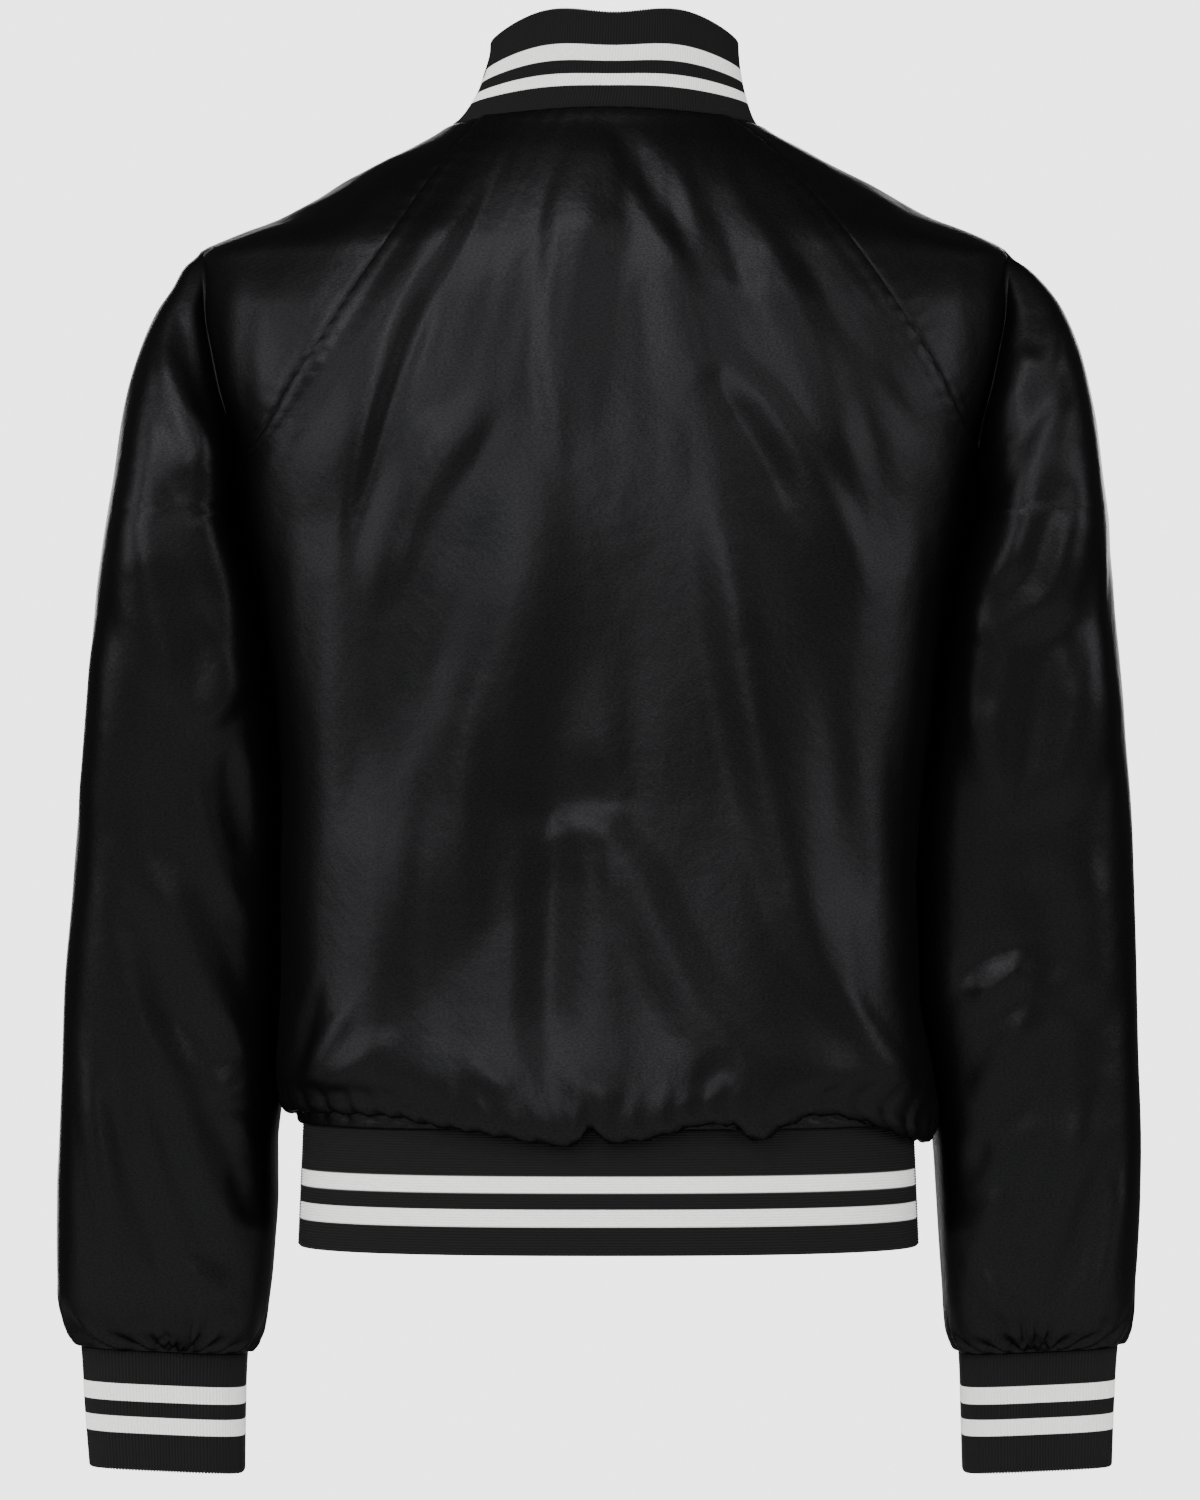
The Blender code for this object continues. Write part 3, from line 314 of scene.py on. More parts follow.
# Folds seen from behind: route in the view, width on each side, height
BACK_FOLDS = (
    (((58, -12), (79, -46), (100, -78), (115, -107),
      (126, -136), (139, -177), (149, -217), (155, -258)), 40, 12, 4.1),
    (((96, -70), (108, -102), (120, -136), (130, -177), (139, -217), (147, -264)), 10, 16, -2.4),
    (((19, -8), (25, -44), (27, -78), (31, -119), (30, -160), (25, -200)), 14, 40, 2.8),
    (((3, 3), (5, -38), (3, -78)), 24, 30, 1.6),
    (((56, -155), (78, -171), (96, -191), (112, -223), (124, -255), (134, -290)), 24, 22, 4),
    (((40, -177), (44, -217), (52, -264), (69, -316),
      (89, -374), (105, -426), (124, -478), (143, -525)), 56, 62, 8),
    (((61, -200), (74, -241), (91, -287), (107, -334), (117, -380)), 20, 30, -2.6),
    (((-59, -137), (-72, -137), (-91, -158), (-107, -183),
      (-124, -212), (-140, -241), (-153, -267)), 26, 16, 3.6),
    (((-64, -151), (-81, -174), (-96, -200), (-107, -229)), 14, 18, -2.2),
    (((-59, -171), (-64, -217), (-74, -270), (-83, -322), (-93, -368),
      (-104, -415), (-115, -455), (-133, -493), (-155, -534), (-182, -569)), 26, 44, 5.6),
    (((-133, -493), (-149, -524), (-171, -554), (-188, -568)), 9, 12, 2.2),
    (((-143, -334), (-153, -409), (-165, -473), (-174, -513), (-193, -559)), 22, 26, 2.6),
    (((-4, -2), (-20, -25), (-37, -52), (-50, -79)), 14, 18, -2.2),
    (((-27, -44), (-39, -84), (-49, -130), (-55, -177)), 26, 22, 2.4),
    (((-85, -52), (-103, -93), (-120, -136), (-137, -183), (-153, -229)), 34, 20, 3.6),
    (((-55, -32), (-72, -67), (-85, -102)), 20, 20, -1.8),
    (((40, -418), (32, -400), (13, -392), (-13, -393)), 17, 38, -2.7),
    (((16, -426), (5, -412), (-9, -418), (-21, -444),
      (-35, -475), (-55, -510), (-81, -538), (-96, -561)), 30, 22, 3.4),
    (((26, -392), (31, -438), (33, -484), (34, -531), (33, -566)), 24, 22, -3.6),
    (((23, -548), (9, -560), (-14, -568)), 12, 14, 2.6),
    (((182, -567), (165, -541), (144, -506)), 9, 11, 2.2),
    (((183, -564), (173, -531), (164, -495)), 9, 9, -2.1),
    (((177, -571), (148, -547), (113, -525)), 9, 12, 2.2),
    (((81, -542), (67, -553), (49, -561)), 12, 12, 1.8),
    (((-49, -570), (-60, -554), (-76, -540)), 12, 12, -1.8),
)
SLEEVE_FOLDS_LEFT = (
    (((249, -102), (241, -130), (232, -160), (226, -180)), 14, 14, -2.8),
    (((264, -119), (251, -154), (235, -183), (222, -212)), 20, 16, 3.2),
    (((265, -195), (246, -220), (231, -252), (220, -299)), 24, 26, -4.6),
    (((282, -217), (270, -252), (258, -299), (246, -349)), 26, 22, 4.4),
    (((245, -354), (220, -332), (195, -311)), 16, 34, 4.2),
    (((212, -229), (205, -270), (199, -304)), 14, 14, 2.6),
    (((270, -418), (253, -449), (235, -490), (208, -543)), 26, 20, 4.2),
    (((286, -432), (264, -478), (243, -525), (231, -555)), 22, 22, -3),
    (((277, -499), (260, -536), (243, -583), (223, -630), (205, -669)), 18, 18, 3.8),
    (((231, -566), (214, -557), (194, -553)), 12, 18, 3),
    (((227, -572), (208, -582), (197, -600), (191, -624)), 15, 12, 2.4),
    (((303, -531), (296, -583), (288, -641), (280, -694)), 13, 15, 3.1),
    (((291, -535), (278, -589), (263, -641), (248, -687)), 14, 14, -2.6),
    (((280, -531), (266, -583), (250, -635), (235, -682)), 14, 14, 2.6),
    (((217, -600), (205, -627), (192, -639)), 12, 12, -2.8),
    (((249, -658), (227, -673), (199, -694)), 11, 13, 2.7),
    (((270, -687), (266, -702), (259, -714)), 11, 9, -2.2),
    (((237, -692), (241, -712)), 9, 9, -2.1),
    (((213, -685), (226, -710)), 10, 10, -2.3),
    (((291, -692), (286, -712)), 9, 10, -2.2),
    (((302, -276), (298, -334), (302, -426)), 26, 24, 2.6),
    (((219, -357), (214, -392), (199, -433)), 16, 18, -3.4),
    (((237, -374), (231, -409), (214, -449), (193, -454)), 16, 14, 2.6),
)
SLEEVE_FOLDS_RIGHT = (
    (((-236, -128), (-246, -137), (-256, -140), (-262, -128), (-260, -105)), 12, 14, 2.6),
    (((-235, -119), (-241, -160), (-231, -188), (-220, -217)), 14, 14, 2),
    (((-263, -155), (-242, -166), (-229, -188), (-216, -217), (-200, -252)), 18, 20, -4.2),
    (((-274, -162), (-260, -175), (-250, -206), (-241, -235), (-229, -256), (-202, -270)), 16, 20, 3.8),
    (((-199, -278), (-211, -288), (-224, -299)), 12, 14, 2.6),
    (((-282, -200), (-269, -241), (-255, -273), (-227, -299)), 18, 22, 4),
    (((-287, -252), (-280, -287), (-258, -304), (-249, -334), (-242, -380)), 22, 26, -4),
    (((-289, -299), (-282, -345), (-264, -380), (-231, -404)), 22, 24, 3.6),
    (((-207, -328), (-220, -357), (-231, -398)), 18, 20, 2.4),
    (((-205, -502), (-220, -485), (-241, -475)), 14, 16, -2.6),
    (((-211, -511), (-229, -497), (-250, -483)), 16, 16, 3),
    (((-250, -507), (-236, -536), (-213, -569)), 16, 16, 2.6),
    (((-264, -513), (-252, -554), (-229, -589)), 16, 18, -2.2),
    (((-194, -605), (-206, -610), (-215, -601), (-221, -584)), 11, 12, -2.6),
    (((-287, -554), (-272, -600), (-256, -647), (-240, -692)), 24, 20, 4),
    (((-298, -589), (-281, -635), (-264, -682), (-256, -708)), 16, 18, -3.2),
    (((-302, -600), (-294, -647), (-284, -693)), 12, 16, 2.8),
    (((-229, -612), (-220, -644), (-209, -664)), 16, 16, 2.4),
    (((-200, -650), (-222, -675), (-244, -699)), 11, 13, 2.7),
    (((-282, -673), (-274, -708)), 10, 10, -2.3),
    (((-258, -694), (-256, -712)), 9, 10, -2.2),
    (((-216, -691), (-221, -710)), 9, 9, -2.1),
    (((-292, -691), (-288, -709)), 9, 9, -2.1),
    (((-279, -415), (-285, -467), (-286, -525)), 26, 24, 2.8),
    (((-246, -420), (-256, -467), (-258, -507)), 24, 24, -2.2),
)

FOLD_MIRROR_SHIFT = -22      # the fronts of the sleeves fold alike, a little higher or lower


# ---------------------------------------------------------------- curves and sections

def smooth_curve(stops, values):
    """Return a smooth function through the stops that doesn't swing past them."""
    stops = np.asarray(stops, float)
    values = np.asarray(values, float)
    if stops[0] > stops[-1]:
        stops, values = stops[::-1], values[::-1]
    steps = np.diff(stops)
    slopes = np.diff(values) / steps
    before, after = slopes[:-1], slopes[1:]
    same_way = before * after > 0
    tangents = np.concatenate(([slopes[0]], np.zeros(len(stops) - 2), [slopes[-1]]))
    harmonic = 2 * before * after / np.where(same_way, before + after, 1)
    tangents[1:-1] = np.where(same_way, harmonic, 0)

    def curve(place):
        place = np.clip(np.asarray(place, float), stops[0], stops[-1])
        low = np.clip(np.searchsorted(stops, place) - 1, 0, len(steps) - 1)
        part = (place - stops[low]) / steps[low]
        rest = 1 - part
        return (values[low] * (1 + 2 * part) * rest ** 2
                + values[low + 1] * (3 - 2 * part) * part ** 2
                + steps[low] * part * rest * (tangents[low] * rest - tangents[low + 1] * part))

    return curve


def read_table(columns, rows):
    """Return one smooth function for each named column, driven by the first column."""
    turned = list(zip(*rows))
    return {name: smooth_curve(turned[0], turned[k]) for k, name in enumerate(columns) if k}


def ease(value):
    """Rise smoothly from 0 to 1 as the value does."""
    value = np.clip(value, 0, 1)
    return value * value * (3 - 2 * value)


def mix(low, high, share):
    return low + (high - low) * share


torso = read_table(TORSO_COLUMNS, TORSO)
raglan = read_table(RAGLAN_COLUMNS, RAGLAN)
arms = read_table(ARM_COLUMNS, ARMS)
hem_edge_back = read_table(HEM_EDGE_COLUMNS, HEM_EDGE_BACK)["height"]
hem_edge_front = read_table(HEM_EDGE_COLUMNS, HEM_EDGE_FRONT)["height"]


def oval(turn, half_width, back, front, square):
    """Point of a squarish oval at an angle from the centre back, positive to the left side."""
    across, along = np.sin(turn), np.cos(turn)
    reach = (np.abs(across) ** square + np.abs(along) ** square) ** (-1 / square)
    return half_width * across * reach, np.where(along > 0, back, front) * along * reach


def torso_point(turn, height):
    x, y = oval(turn, torso["half_width"](height), torso["back"](height),
                torso["front"](height), torso["square"](height))
    sway = torso["shift"](height) * np.sin(turn) ** 2
    return np.stack(np.broadcast_arrays(x + sway, y, height), -1)


def torso_turn(across, height, facing):
    """Angle on the body's left half, at a distance to the left, on the back (1) or front (-1)."""
    square = torso["square"](height)
    share = np.clip(across / torso["half_width"](height), 0, 1)
    rest = (1 - share ** square) ** (1 / square)
    return np.arctan2(share, facing * rest)


def neck_point(angle):
    """Point of the neck seam at an angle of its oval; its height is where the oval cuts the body."""
    x, y = oval(angle, NECK_HALF_WIDTH, NECK_BACK, NECK_FRONT, NECK_SQUARE)
    low = np.full_like(x, NECK_LOWEST)
    high = np.full_like(x, TORSO[0][0], dtype=float)
    for _ in range(HALVINGS):
        middle = (low + high) / 2
        depth = np.where(y > 0, torso["back"](middle), torso["front"](middle))
        square = torso["square"](middle)
        inside = (np.abs(x / torso["half_width"](middle)) ** square
                  + np.abs(y / depth) ** square) < 1
        low = np.where(inside, middle, low)
        high = np.where(inside, high, middle)
    return np.stack([x, y, (low + high) / 2], -1)


def neck_angle(across, facing):
    share = across / NECK_HALF_WIDTH
    rest = (1 - share ** NECK_SQUARE) ** (1 / NECK_SQUARE)
    return math.atan2(share, facing * rest)


NECK_TURN_BACK = neck_angle(NECK_SEAM_BACK, 1)
NECK_TURN_FRONT = neck_angle(NECK_SEAM_FRONT, -1)
NECK_HEIGHT_BACK = float(neck_point(np.array([NECK_TURN_BACK]))[0, 2])
NECK_HEIGHT_FRONT = float(neck_point(np.array([NECK_TURN_FRONT]))[0, 2])


def seam_height(share, facing):
    start = NECK_HEIGHT_BACK if facing > 0 else NECK_HEIGHT_FRONT
    return mix(start, UNDERARM, share)


# ---------------------------------------------------------------- the arm against the body

def arm_sizes(side, height):
    outer = arms["outer_" + side](height)
    inner = arms["inner_" + side](height)
    return (outer + inner) / 2, (outer - inner) / 2, arms["depth"](height), arms["centre"](height)


def arm_oval(angle, middle, half_width, depth, centre):
    """Point of the arm's section: 0 is its outer side, a quarter turn its back."""
    reach = (np.abs(np.cos(angle)) ** ARM_SQUARE
             + np.abs(np.sin(angle)) ** ARM_SQUARE) ** (-1 / ARM_SQUARE)
    return (middle + half_width * np.cos(angle) * reach,
            centre + depth * np.sin(angle) * reach)


def crease(side, height, facing):
    """Angles on the body and on the arm where the two sections cross, behind or in front."""
    middle, half_width, depth, _ = arm_sizes(side, height)
    body_depth = torso["back"](height) if facing > 0 else torso["front"](height)
    body_width = torso["half_width"](height)
    square = torso["square"](height)
    low = np.zeros_like(height)
    high = np.minimum(depth, body_depth) * 0.999
    for _ in range(HALVINGS):
        along = (low + high) / 2
        body = body_width * (1 - (along / body_depth) ** square) ** (1 / square)
        arm = middle - half_width * (1 - (along / depth) ** ARM_SQUARE) ** (1 / ARM_SQUARE)
        overlap = body > arm
        low = np.where(overlap, along, low)
        high = np.where(overlap, high, along)
    along = (low + high) / 2
    body = body_width * (1 - (along / body_depth) ** square) ** (1 / square)
    arm_in = half_width * (1 - (along / depth) ** ARM_SQUARE) ** (1 / ARM_SQUARE)
    on_body = np.arctan2(body / body_width, facing * along / body_depth)
    on_arm = np.arctan2(facing * along / depth, -arm_in / half_width)
    return on_body, on_arm


def seam_turn(side, height, facing):
    """Angle on the body of the raglan seam; low down it runs in the crease under the arm."""
    start = NECK_HEIGHT_BACK if facing > 0 else NECK_HEIGHT_FRONT
    share = np.clip((height - start) / (UNDERARM - start), 0, 1)
    across = raglan["back_" + side if facing > 0 else "front"](share)
    turn = torso_turn(across, height, facing)
    fold, _ = crease(side, np.minimum(height, TIP), facing)
    if facing > 0:
        return np.where(height < TIP, np.minimum(turn, fold), turn)
    return np.where(height < TIP, np.maximum(turn, fold), turn)


def sleeve_ring(side, height, samples=48):
    """Section of a sleeve from its back seam round the outside to its front seam, for the left.

    Above the underarm it takes in the yoke, which lies on the body's form; below, it closes.
    """
    height = np.asarray(height, float)[:, None]
    run = np.linspace(0, 1, samples)[None, :]
    hanging = height < TIP
    level = np.minimum(height, TIP)
    fold_back, arm_back = crease(side, level, 1)
    fold_front, arm_front = crease(side, level, -1)
    start = seam_turn(side, height, 1)
    end = seam_turn(side, height, -1)
    share_back = np.clip(fold_back, start, math.pi / 2)
    share_front = np.clip(fold_front, math.pi / 2, end)
    yoke_back = torso_point(mix(start, share_back, run), height)
    yoke_front = torso_point(mix(share_front, end, run), height)
    x, y = arm_oval(mix(arm_back, arm_front, run), *arm_sizes(side, level))
    arm = np.stack(np.broadcast_arrays(x, y, height), -1)
    over = torso_point(mix(share_back, share_front, run), height)
    middle = np.where(hanging[..., None], arm, over)
    closed = height < UNDERARM
    x, y = arm_oval(mix(math.pi, -math.pi, np.linspace(0, 1, 3 * samples))[None, :],
                    *arm_sizes(side, height))
    tube = np.stack(np.broadcast_arrays(x, y, height), -1)
    ring = np.concatenate([yoke_back, middle, yoke_front], 1)
    ring = np.where(closed[..., None], tube, ring)
    lengths = np.concatenate([np.zeros((len(height), 1)), np.cumsum(
        np.linalg.norm(np.diff(ring, axis=1), axis=2), 1)], 1)
    marks = np.where(closed, 0, lengths[:, samples:samples + 1])
    marks_end = np.where(closed, 0, lengths[:, -1:] - lengths[:, 2 * samples:2 * samples + 1])
    return ring, lengths, marks[:, 0], marks_end[:, 0]


def edge_stations(step, total, width):
    """Place of a column in millimetres: a narrow strip at each sewn edge, even between them."""
    edge = np.minimum(SEAM_EDGE, width / 6)
    inside = mix(edge, width - edge, (step - 1) / (total - 2))
    first = edge * step
    last = width - edge * (total - step)
    return np.where(step < 1, first, np.where(step > total - 1, last, inside))


def sleeve_section(side, step, height):
    """Points of a sleeve, at a column step and a height for each, for the left side."""
    points = np.zeros((len(step), 3))
    levels, place = np.unique(np.round(height, 4), return_inverse=True)
    ring, lengths, yoke_back, yoke_front = sleeve_ring(side, levels)
    evening = ease((UNDERARM - levels) / EVEN_REACH)
    shares = mix(YOKE_SHARE, YOKE_COLUMNS / SLEEVE_COLUMNS, evening)
    stops = (0, 1, YOKE_COLUMNS, SLEEVE_COLUMNS - YOKE_COLUMNS, SLEEVE_COLUMNS - 1, SLEEVE_COLUMNS)
    for k in range(len(levels)):
        mine = place == k
        whole = lengths[k, -1]
        edge = mix(SEAM_EDGE, whole / SLEEVE_COLUMNS, evening[k])
        back = max(yoke_back[k], shares[k] * whole)
        front = whole - max(yoke_front[k], shares[k] * whole)
        along = np.interp(step[mine], stops, (0, edge, back, front, whole - edge, whole))
        for axis in range(3):
            points[mine, axis] = np.interp(along, lengths[k], ring[k, :, axis])
    return points


# ---------------------------------------------------------------- panels in their own steps

def shoulder_share(row):
    """Share of the way down from the neck to the underarm; rows are closer near the neck."""
    return np.clip(row / SHOULDER_ROWS, 0, 1) ** SHOULDER_SPACING


def blend_to_neck(points, neck, at_neck, share):
    """Draw the upper rows of a panel to the neck seam."""
    return points + ((1 - share) ** NECK_PULL)[:, None] * (neck - at_neck)


def sleeve_points(side, step, row):
    """Points of a sleeve's outer face for the left side; the right one is turned over later."""
    share = shoulder_share(row)
    part = step / SLEEVE_COLUMNS
    angle = mix(NECK_TURN_BACK, NECK_TURN_FRONT, part)
    neck = neck_point(angle)
    even = mix(NECK_HEIGHT_BACK, NECK_HEIGHT_FRONT, part)
    height = mix(even, UNDERARM, share) + (1 - share) ** 3 * (neck[:, 2] - even)
    below = np.clip((row - SHOULDER_ROWS) / ARM_ROWS, 0, 1)
    height = np.where(row > SHOULDER_ROWS, arm_height(below), height)
    points = sleeve_section(side, step, height)
    upper = row < SHOULDER_ROWS
    at_neck = sleeve_section(side, step[upper], neck[upper, 2])
    points[upper] = blend_to_neck(points[upper], neck[upper], at_neck, share[upper])
    tilt = CUFF_TILT * ease((TILT_FROM - height) / (TILT_FROM - CUFF_TOP))
    middle = arm_sizes(side, height)[0]
    points[:, 2] += tilt * (points[:, 0] - middle)
    return points


def arm_height(below):
    """Height of an arm row: even rows, then close ones where the cloth turns in to the cuff."""
    stops = (0,) + tuple(1 - (len(TURN_IN) - k) / ARM_ROWS for k in range(len(TURN_IN))) + (1,)
    return np.interp(below, stops, (UNDERARM,) + TURN_IN + (CUFF_TOP,))


def body_height(row):
    """Height of a body row below the underarm, down to the start of the blouse."""
    return mix(UNDERARM, BAND_TOP + BLOUSE_RISE, np.clip((row - SHOULDER_ROWS) / BODY_ROWS, 0, 1))


def band_point(turn, height):
    flare = BAND_FLARE * (BAND_TOP - height) / (BAND_TOP - BAND_BOTTOM)
    x, y = oval(turn, BAND_HALF_WIDTH + flare, BAND_DEPTH + flare, BAND_DEPTH + flare, BAND_SQUARE)
    return np.stack(np.broadcast_arrays(x + BAND_SHIFT * np.sin(turn) ** 2, y, height), -1)


def band_outward(turn):
    """Level direction out of the band at an angle."""
    ahead = band_point(turn + SMALL_TURN, BAND_TOP)
    behind = band_point(turn - SMALL_TURN, BAND_TOP)
    run = ahead - behind
    out = np.stack([-run[:, 1], run[:, 0], np.zeros(len(run))], -1)
    return out / np.linalg.norm(out, axis=1)[:, None]


def blouse_share(points):
    """How fully the cloth blouses: not at all by the opening, where it runs plain to the band."""
    opening = np.where(points[:, 1] < 0, np.abs(points[:, 0]), BAND_HALF_WIDTH)
    return ease((opening - PLACKET_FLAT) / BLOUSE_RAMP)


def blouse_points(turn, step):
    """The roll of cloth that hangs over the band, step 0 being where it leaves the body."""
    seam = band_point(turn, BAND_TOP)
    outward = band_outward(turn)
    back = hem_edge_back(seam[:, 0])
    front = hem_edge_front(seam[:, 0])
    full = blouse_share(seam)
    edge = mix(front, back, ease(seam[:, 1] / 60 + 0.5))
    edge = mix(SHALLOW_EDGE, edge, ease(2 * full - 1))
    count = len(BLOUSE)
    out = np.zeros(len(turn))
    rise = np.zeros(len(turn))
    for k, (reach, part, lift) in enumerate(BLOUSE):
        mine = np.round(count - step).astype(int) == k
        out[mine] = mix(0, reach, full[mine])
        rise[mine] = mix(PLAIN_START + PLAIN_RISE * k, part * edge[mine] + lift, full[mine])
    points = seam + outward * out[:, None]
    points[:, 2] = BAND_TOP + rise
    return points


def body_points(turn_at, neck_at, seam_height_at, row):
    """Points of a body panel's outer face from its turns, neck points and seam heights."""
    share = shoulder_share(row)
    upper = row <= SHOULDER_ROWS
    height = np.where(upper, 0, body_height(row))
    neck = neck_at
    level = seam_height_at(share)
    start = seam_height_at(np.zeros_like(share))
    height = np.where(upper, level + (1 - share) ** 1.6 * (neck[:, 2] - start), height)
    points = torso_point(turn_at(height, row), height)
    at_neck = torso_point(turn_at(neck[:, 2], row * 0), neck[:, 2])
    points[upper] = blend_to_neck(points[upper], neck[upper], at_neck[upper], share[upper])
    rolled = row > SHOULDER_ROWS + BODY_ROWS
    if rolled.any():
        turn = turn_at(height, row)[rolled]
        points[rolled] = blouse_points(turn, row[rolled] - SHOULDER_ROWS - BODY_ROWS)
    return points


def back_points(step, row):
    """The back, from the left seams (step 0) to the right ones."""
    width = 2 * mix(NECK_SEAM_BACK, 210, ease(shoulder_share(row) * 1.4))
    part = edge_stations(step, BACK_COLUMNS, width) / width
    neck = neck_point(mix(NECK_TURN_BACK, -NECK_TURN_BACK, part))

    def turn_at(height, row_at):
        level = seam_height(shoulder_share(row_at), 1)
        left = np.where(row_at > SHOULDER_ROWS, math.pi / 2, seam_turn("left", level, 1))
        right = np.where(row_at > SHOULDER_ROWS, math.pi / 2, seam_turn("right", level, 1))
        return mix(left, -right, part)

    return body_points(turn_at, neck, lambda share: seam_height(share, 1), row)


def front_points(side, step, row):
    """A front, from its side and raglan seam (step 0) to its opening edge, for the left side."""
    sign = 1 if side == "left" else -1
    width = mix(NECK_SEAM_FRONT, 210, ease(shoulder_share(row) * 1.4)) + LAP
    part = edge_stations(step, FRONT_COLUMNS, width) / width
    neck_edge = math.pi + LAP / NECK_HALF_WIDTH
    neck = neck_point(sign * mix(NECK_TURN_FRONT, neck_edge, part))

    def turn_at(height, row_at):
        level = seam_height(shoulder_share(row_at), -1)
        seam = np.where(row_at > SHOULDER_ROWS, math.pi / 2, seam_turn(side, level, -1))
        return sign * mix(seam, math.pi + LAP / torso["half_width"](height), part)

    points = body_points(turn_at, neck, lambda share: seam_height(share, -1), row)
    body = row <= SHOULDER_ROWS + BODY_ROWS
    tuck = np.where(body, torso["front"](points[:, 2]) + opening_depth(points[:, 2]), 0)
    points[:, 1] += tuck * (1 - blouse_share(points))
    if side == "right":
        points[:, 1] += (SATIN_WALL + LAP_GAP) * under_lap(points[:, 0])
    return points


def opening_depth(height):
    """Depth of the front's outer face on the centre line, where it draws in towards the band."""
    tuck = ease((TUCK_FROM - height) / (TUCK_FROM - BAND_TOP - BLOUSE_RISE))
    return -mix(torso["front"](height), BAND_DEPTH, tuck)


def under_lap(across):
    """Where the right side runs beneath the left one at the opening."""
    return ease((across + LAP + LAP_RAMP + LAP_CLEAR) / LAP_RAMP)


def collar_points(part, rise):
    """Collar: from the neck seam (rise 0) up to its top edge (rise 1)."""
    end = math.pi - COLLAR_END_GAP / NECK_HALF_WIDTH
    angle = mix(end, -end, part)
    base = neck_point(angle)
    side = np.abs(np.sin(angle))
    lean = COLLAR_LEAN * mix(COLLAR_LEAN_SHARE, 1, side ** 1.5)
    early = np.sin(math.pi / 2 * np.clip(rise, 0, 1)) ** COLLAR_LEAN_POWER
    behind = ease(1.2 + 2 * np.cos(angle))
    scale = 1 - lean * mix(rise ** 2, early, behind) / np.hypot(base[:, 0], base[:, 1])
    drop = COLLAR_SIDE_DROP * side ** 4 - COLLAR_QUARTER_RISE * np.sin(math.pi * side) ** 2
    drop += COLLAR_FRONT_DROP * ease(-np.cos(angle))
    points = base.copy()
    points[:, 0] = points[:, 0] * scale + COLLAR_SHIFT * early * behind
    points[:, 1] *= scale
    points[:, 2] += COLLAR_SEAT + COLLAR_RISE * rise * (1 - drop)
    return points


# ---------------------------------------------------------------- fine cloth

def fine_steps(stops, counts):
    """Fractions of the coarse steps, with a count of fine ones between each pair of stops."""
    parts = [np.linspace(low, high, count, endpoint=False)
             for low, high, count in zip(stops, stops[1:], counts)]
    return np.concatenate(parts + [[stops[-1]]])


def spread(points_at, steps, rows):
    """Points of a panel on a fine grid: one row of the result for each row of the cloth."""
    step, row = np.meshgrid(steps, rows)
    return points_at(step.ravel(), row.ravel()).reshape(step.shape + (3,))


def follow_rows(controls, first, rows):
    """Smooth way through control rows, whose numbers start at first, at fractional rows."""
    spans = np.linalg.norm(np.diff(controls, axis=0), axis=2).mean(1)
    slopes = np.diff(controls, axis=0) / spans[:, None, None]
    ahead, behind = spans[1:, None, None], spans[:-1, None, None]
    middle = (slopes[:-1] * ahead + slopes[1:] * behind) / (ahead + behind)
    tangents = np.concatenate([slopes[:1], middle, slopes[-1:]])
    low = np.clip((rows - first).astype(int), 0, len(spans) - 1)
    part = (rows - first - low)[:, None, None]
    span = spans[low][:, None, None]
    rest = 1 - part
    return (controls[low] * (1 + 2 * part) * rest ** 2 + controls[low + 1] * (3 - 2 * part) * part ** 2
            + span * part * rest * (tangents[low] * rest - tangents[low + 1] * part))


def body_form(points_at, steps, rows):
    """A body panel: its form down to the last body row, then the curve of the roll."""
    form = spread(points_at, steps, rows)
    first = SHOULDER_ROWS + BODY_ROWS - 2
    last = SHOULDER_ROWS + BODY_ROWS + len(BLOUSE)
    controls = spread(points_at, steps, np.arange(first, last + 1))
    rolled = rows > first + 1
    form[rolled] = follow_rows(controls, first, rows[rolled])
    return calm_columns(form)


def calm_columns(form):
    """Keep the columns from bunching where a seam turns sharply: only those near it follow it."""
    along = runs(form, 1)
    start = np.array([np.interp(0, form[k, ::-1, 0], along[k, ::-1]) for k in range(len(form))])
    place = along - start[:, None]
    kernel = np.exp(-0.5 * (np.arange(-24, 25) / 9) ** 2)
    padded = np.pad(place, ((24, 24), (0, 0)), "edge")
    soft = sum(weight * padded[k:k + len(place)] for k, weight in enumerate(kernel)) / kernel.sum()
    for edge in (0, -1):
        missed = (place - soft)[:, [edge]]
        soft = soft + missed * ease(1 - np.abs(soft - soft[:, [edge]]) / SEAM_SPREAD)
    for k in range(len(form)):
        spots = soft[k] + start[k]
        form[k] = np.stack([np.interp(spots, along[k], form[k, :, axis]) for axis in range(3)], -1)
    return form


def runs(form, axis):
    """Distance along the cloth from its first column or row."""
    lengths = np.linalg.norm(np.diff(form, axis=axis), axis=2)
    start = np.zeros_like(np.take(lengths, [0], axis))
    return np.concatenate([start, np.cumsum(lengths, axis)], axis)


def normals_of(form, middle):
    """Direction out of the cloth, away from a middle line at (x, y)."""
    across, along = np.gradient(form, axis=1), np.gradient(form, axis=0)
    normals = np.cross(across, along)
    normals /= np.maximum(np.linalg.norm(normals, axis=2), 1e-9)[..., None]
    outward = ((form[..., :2] - np.asarray(middle)) * normals[..., :2]).sum()
    return normals if outward > 0 else -normals


def seen(form):
    """Where the camera behind the jacket sees each point: distances to the left and up."""
    nearer = CAMERA[1] / (CAMERA[1] - form[..., 1])
    return np.stack([CAMERA[0] + (form[..., 0] - CAMERA[0]) * nearer,
                     CAMERA[2] + (form[..., 2] - CAMERA[2]) * nearer], -1)


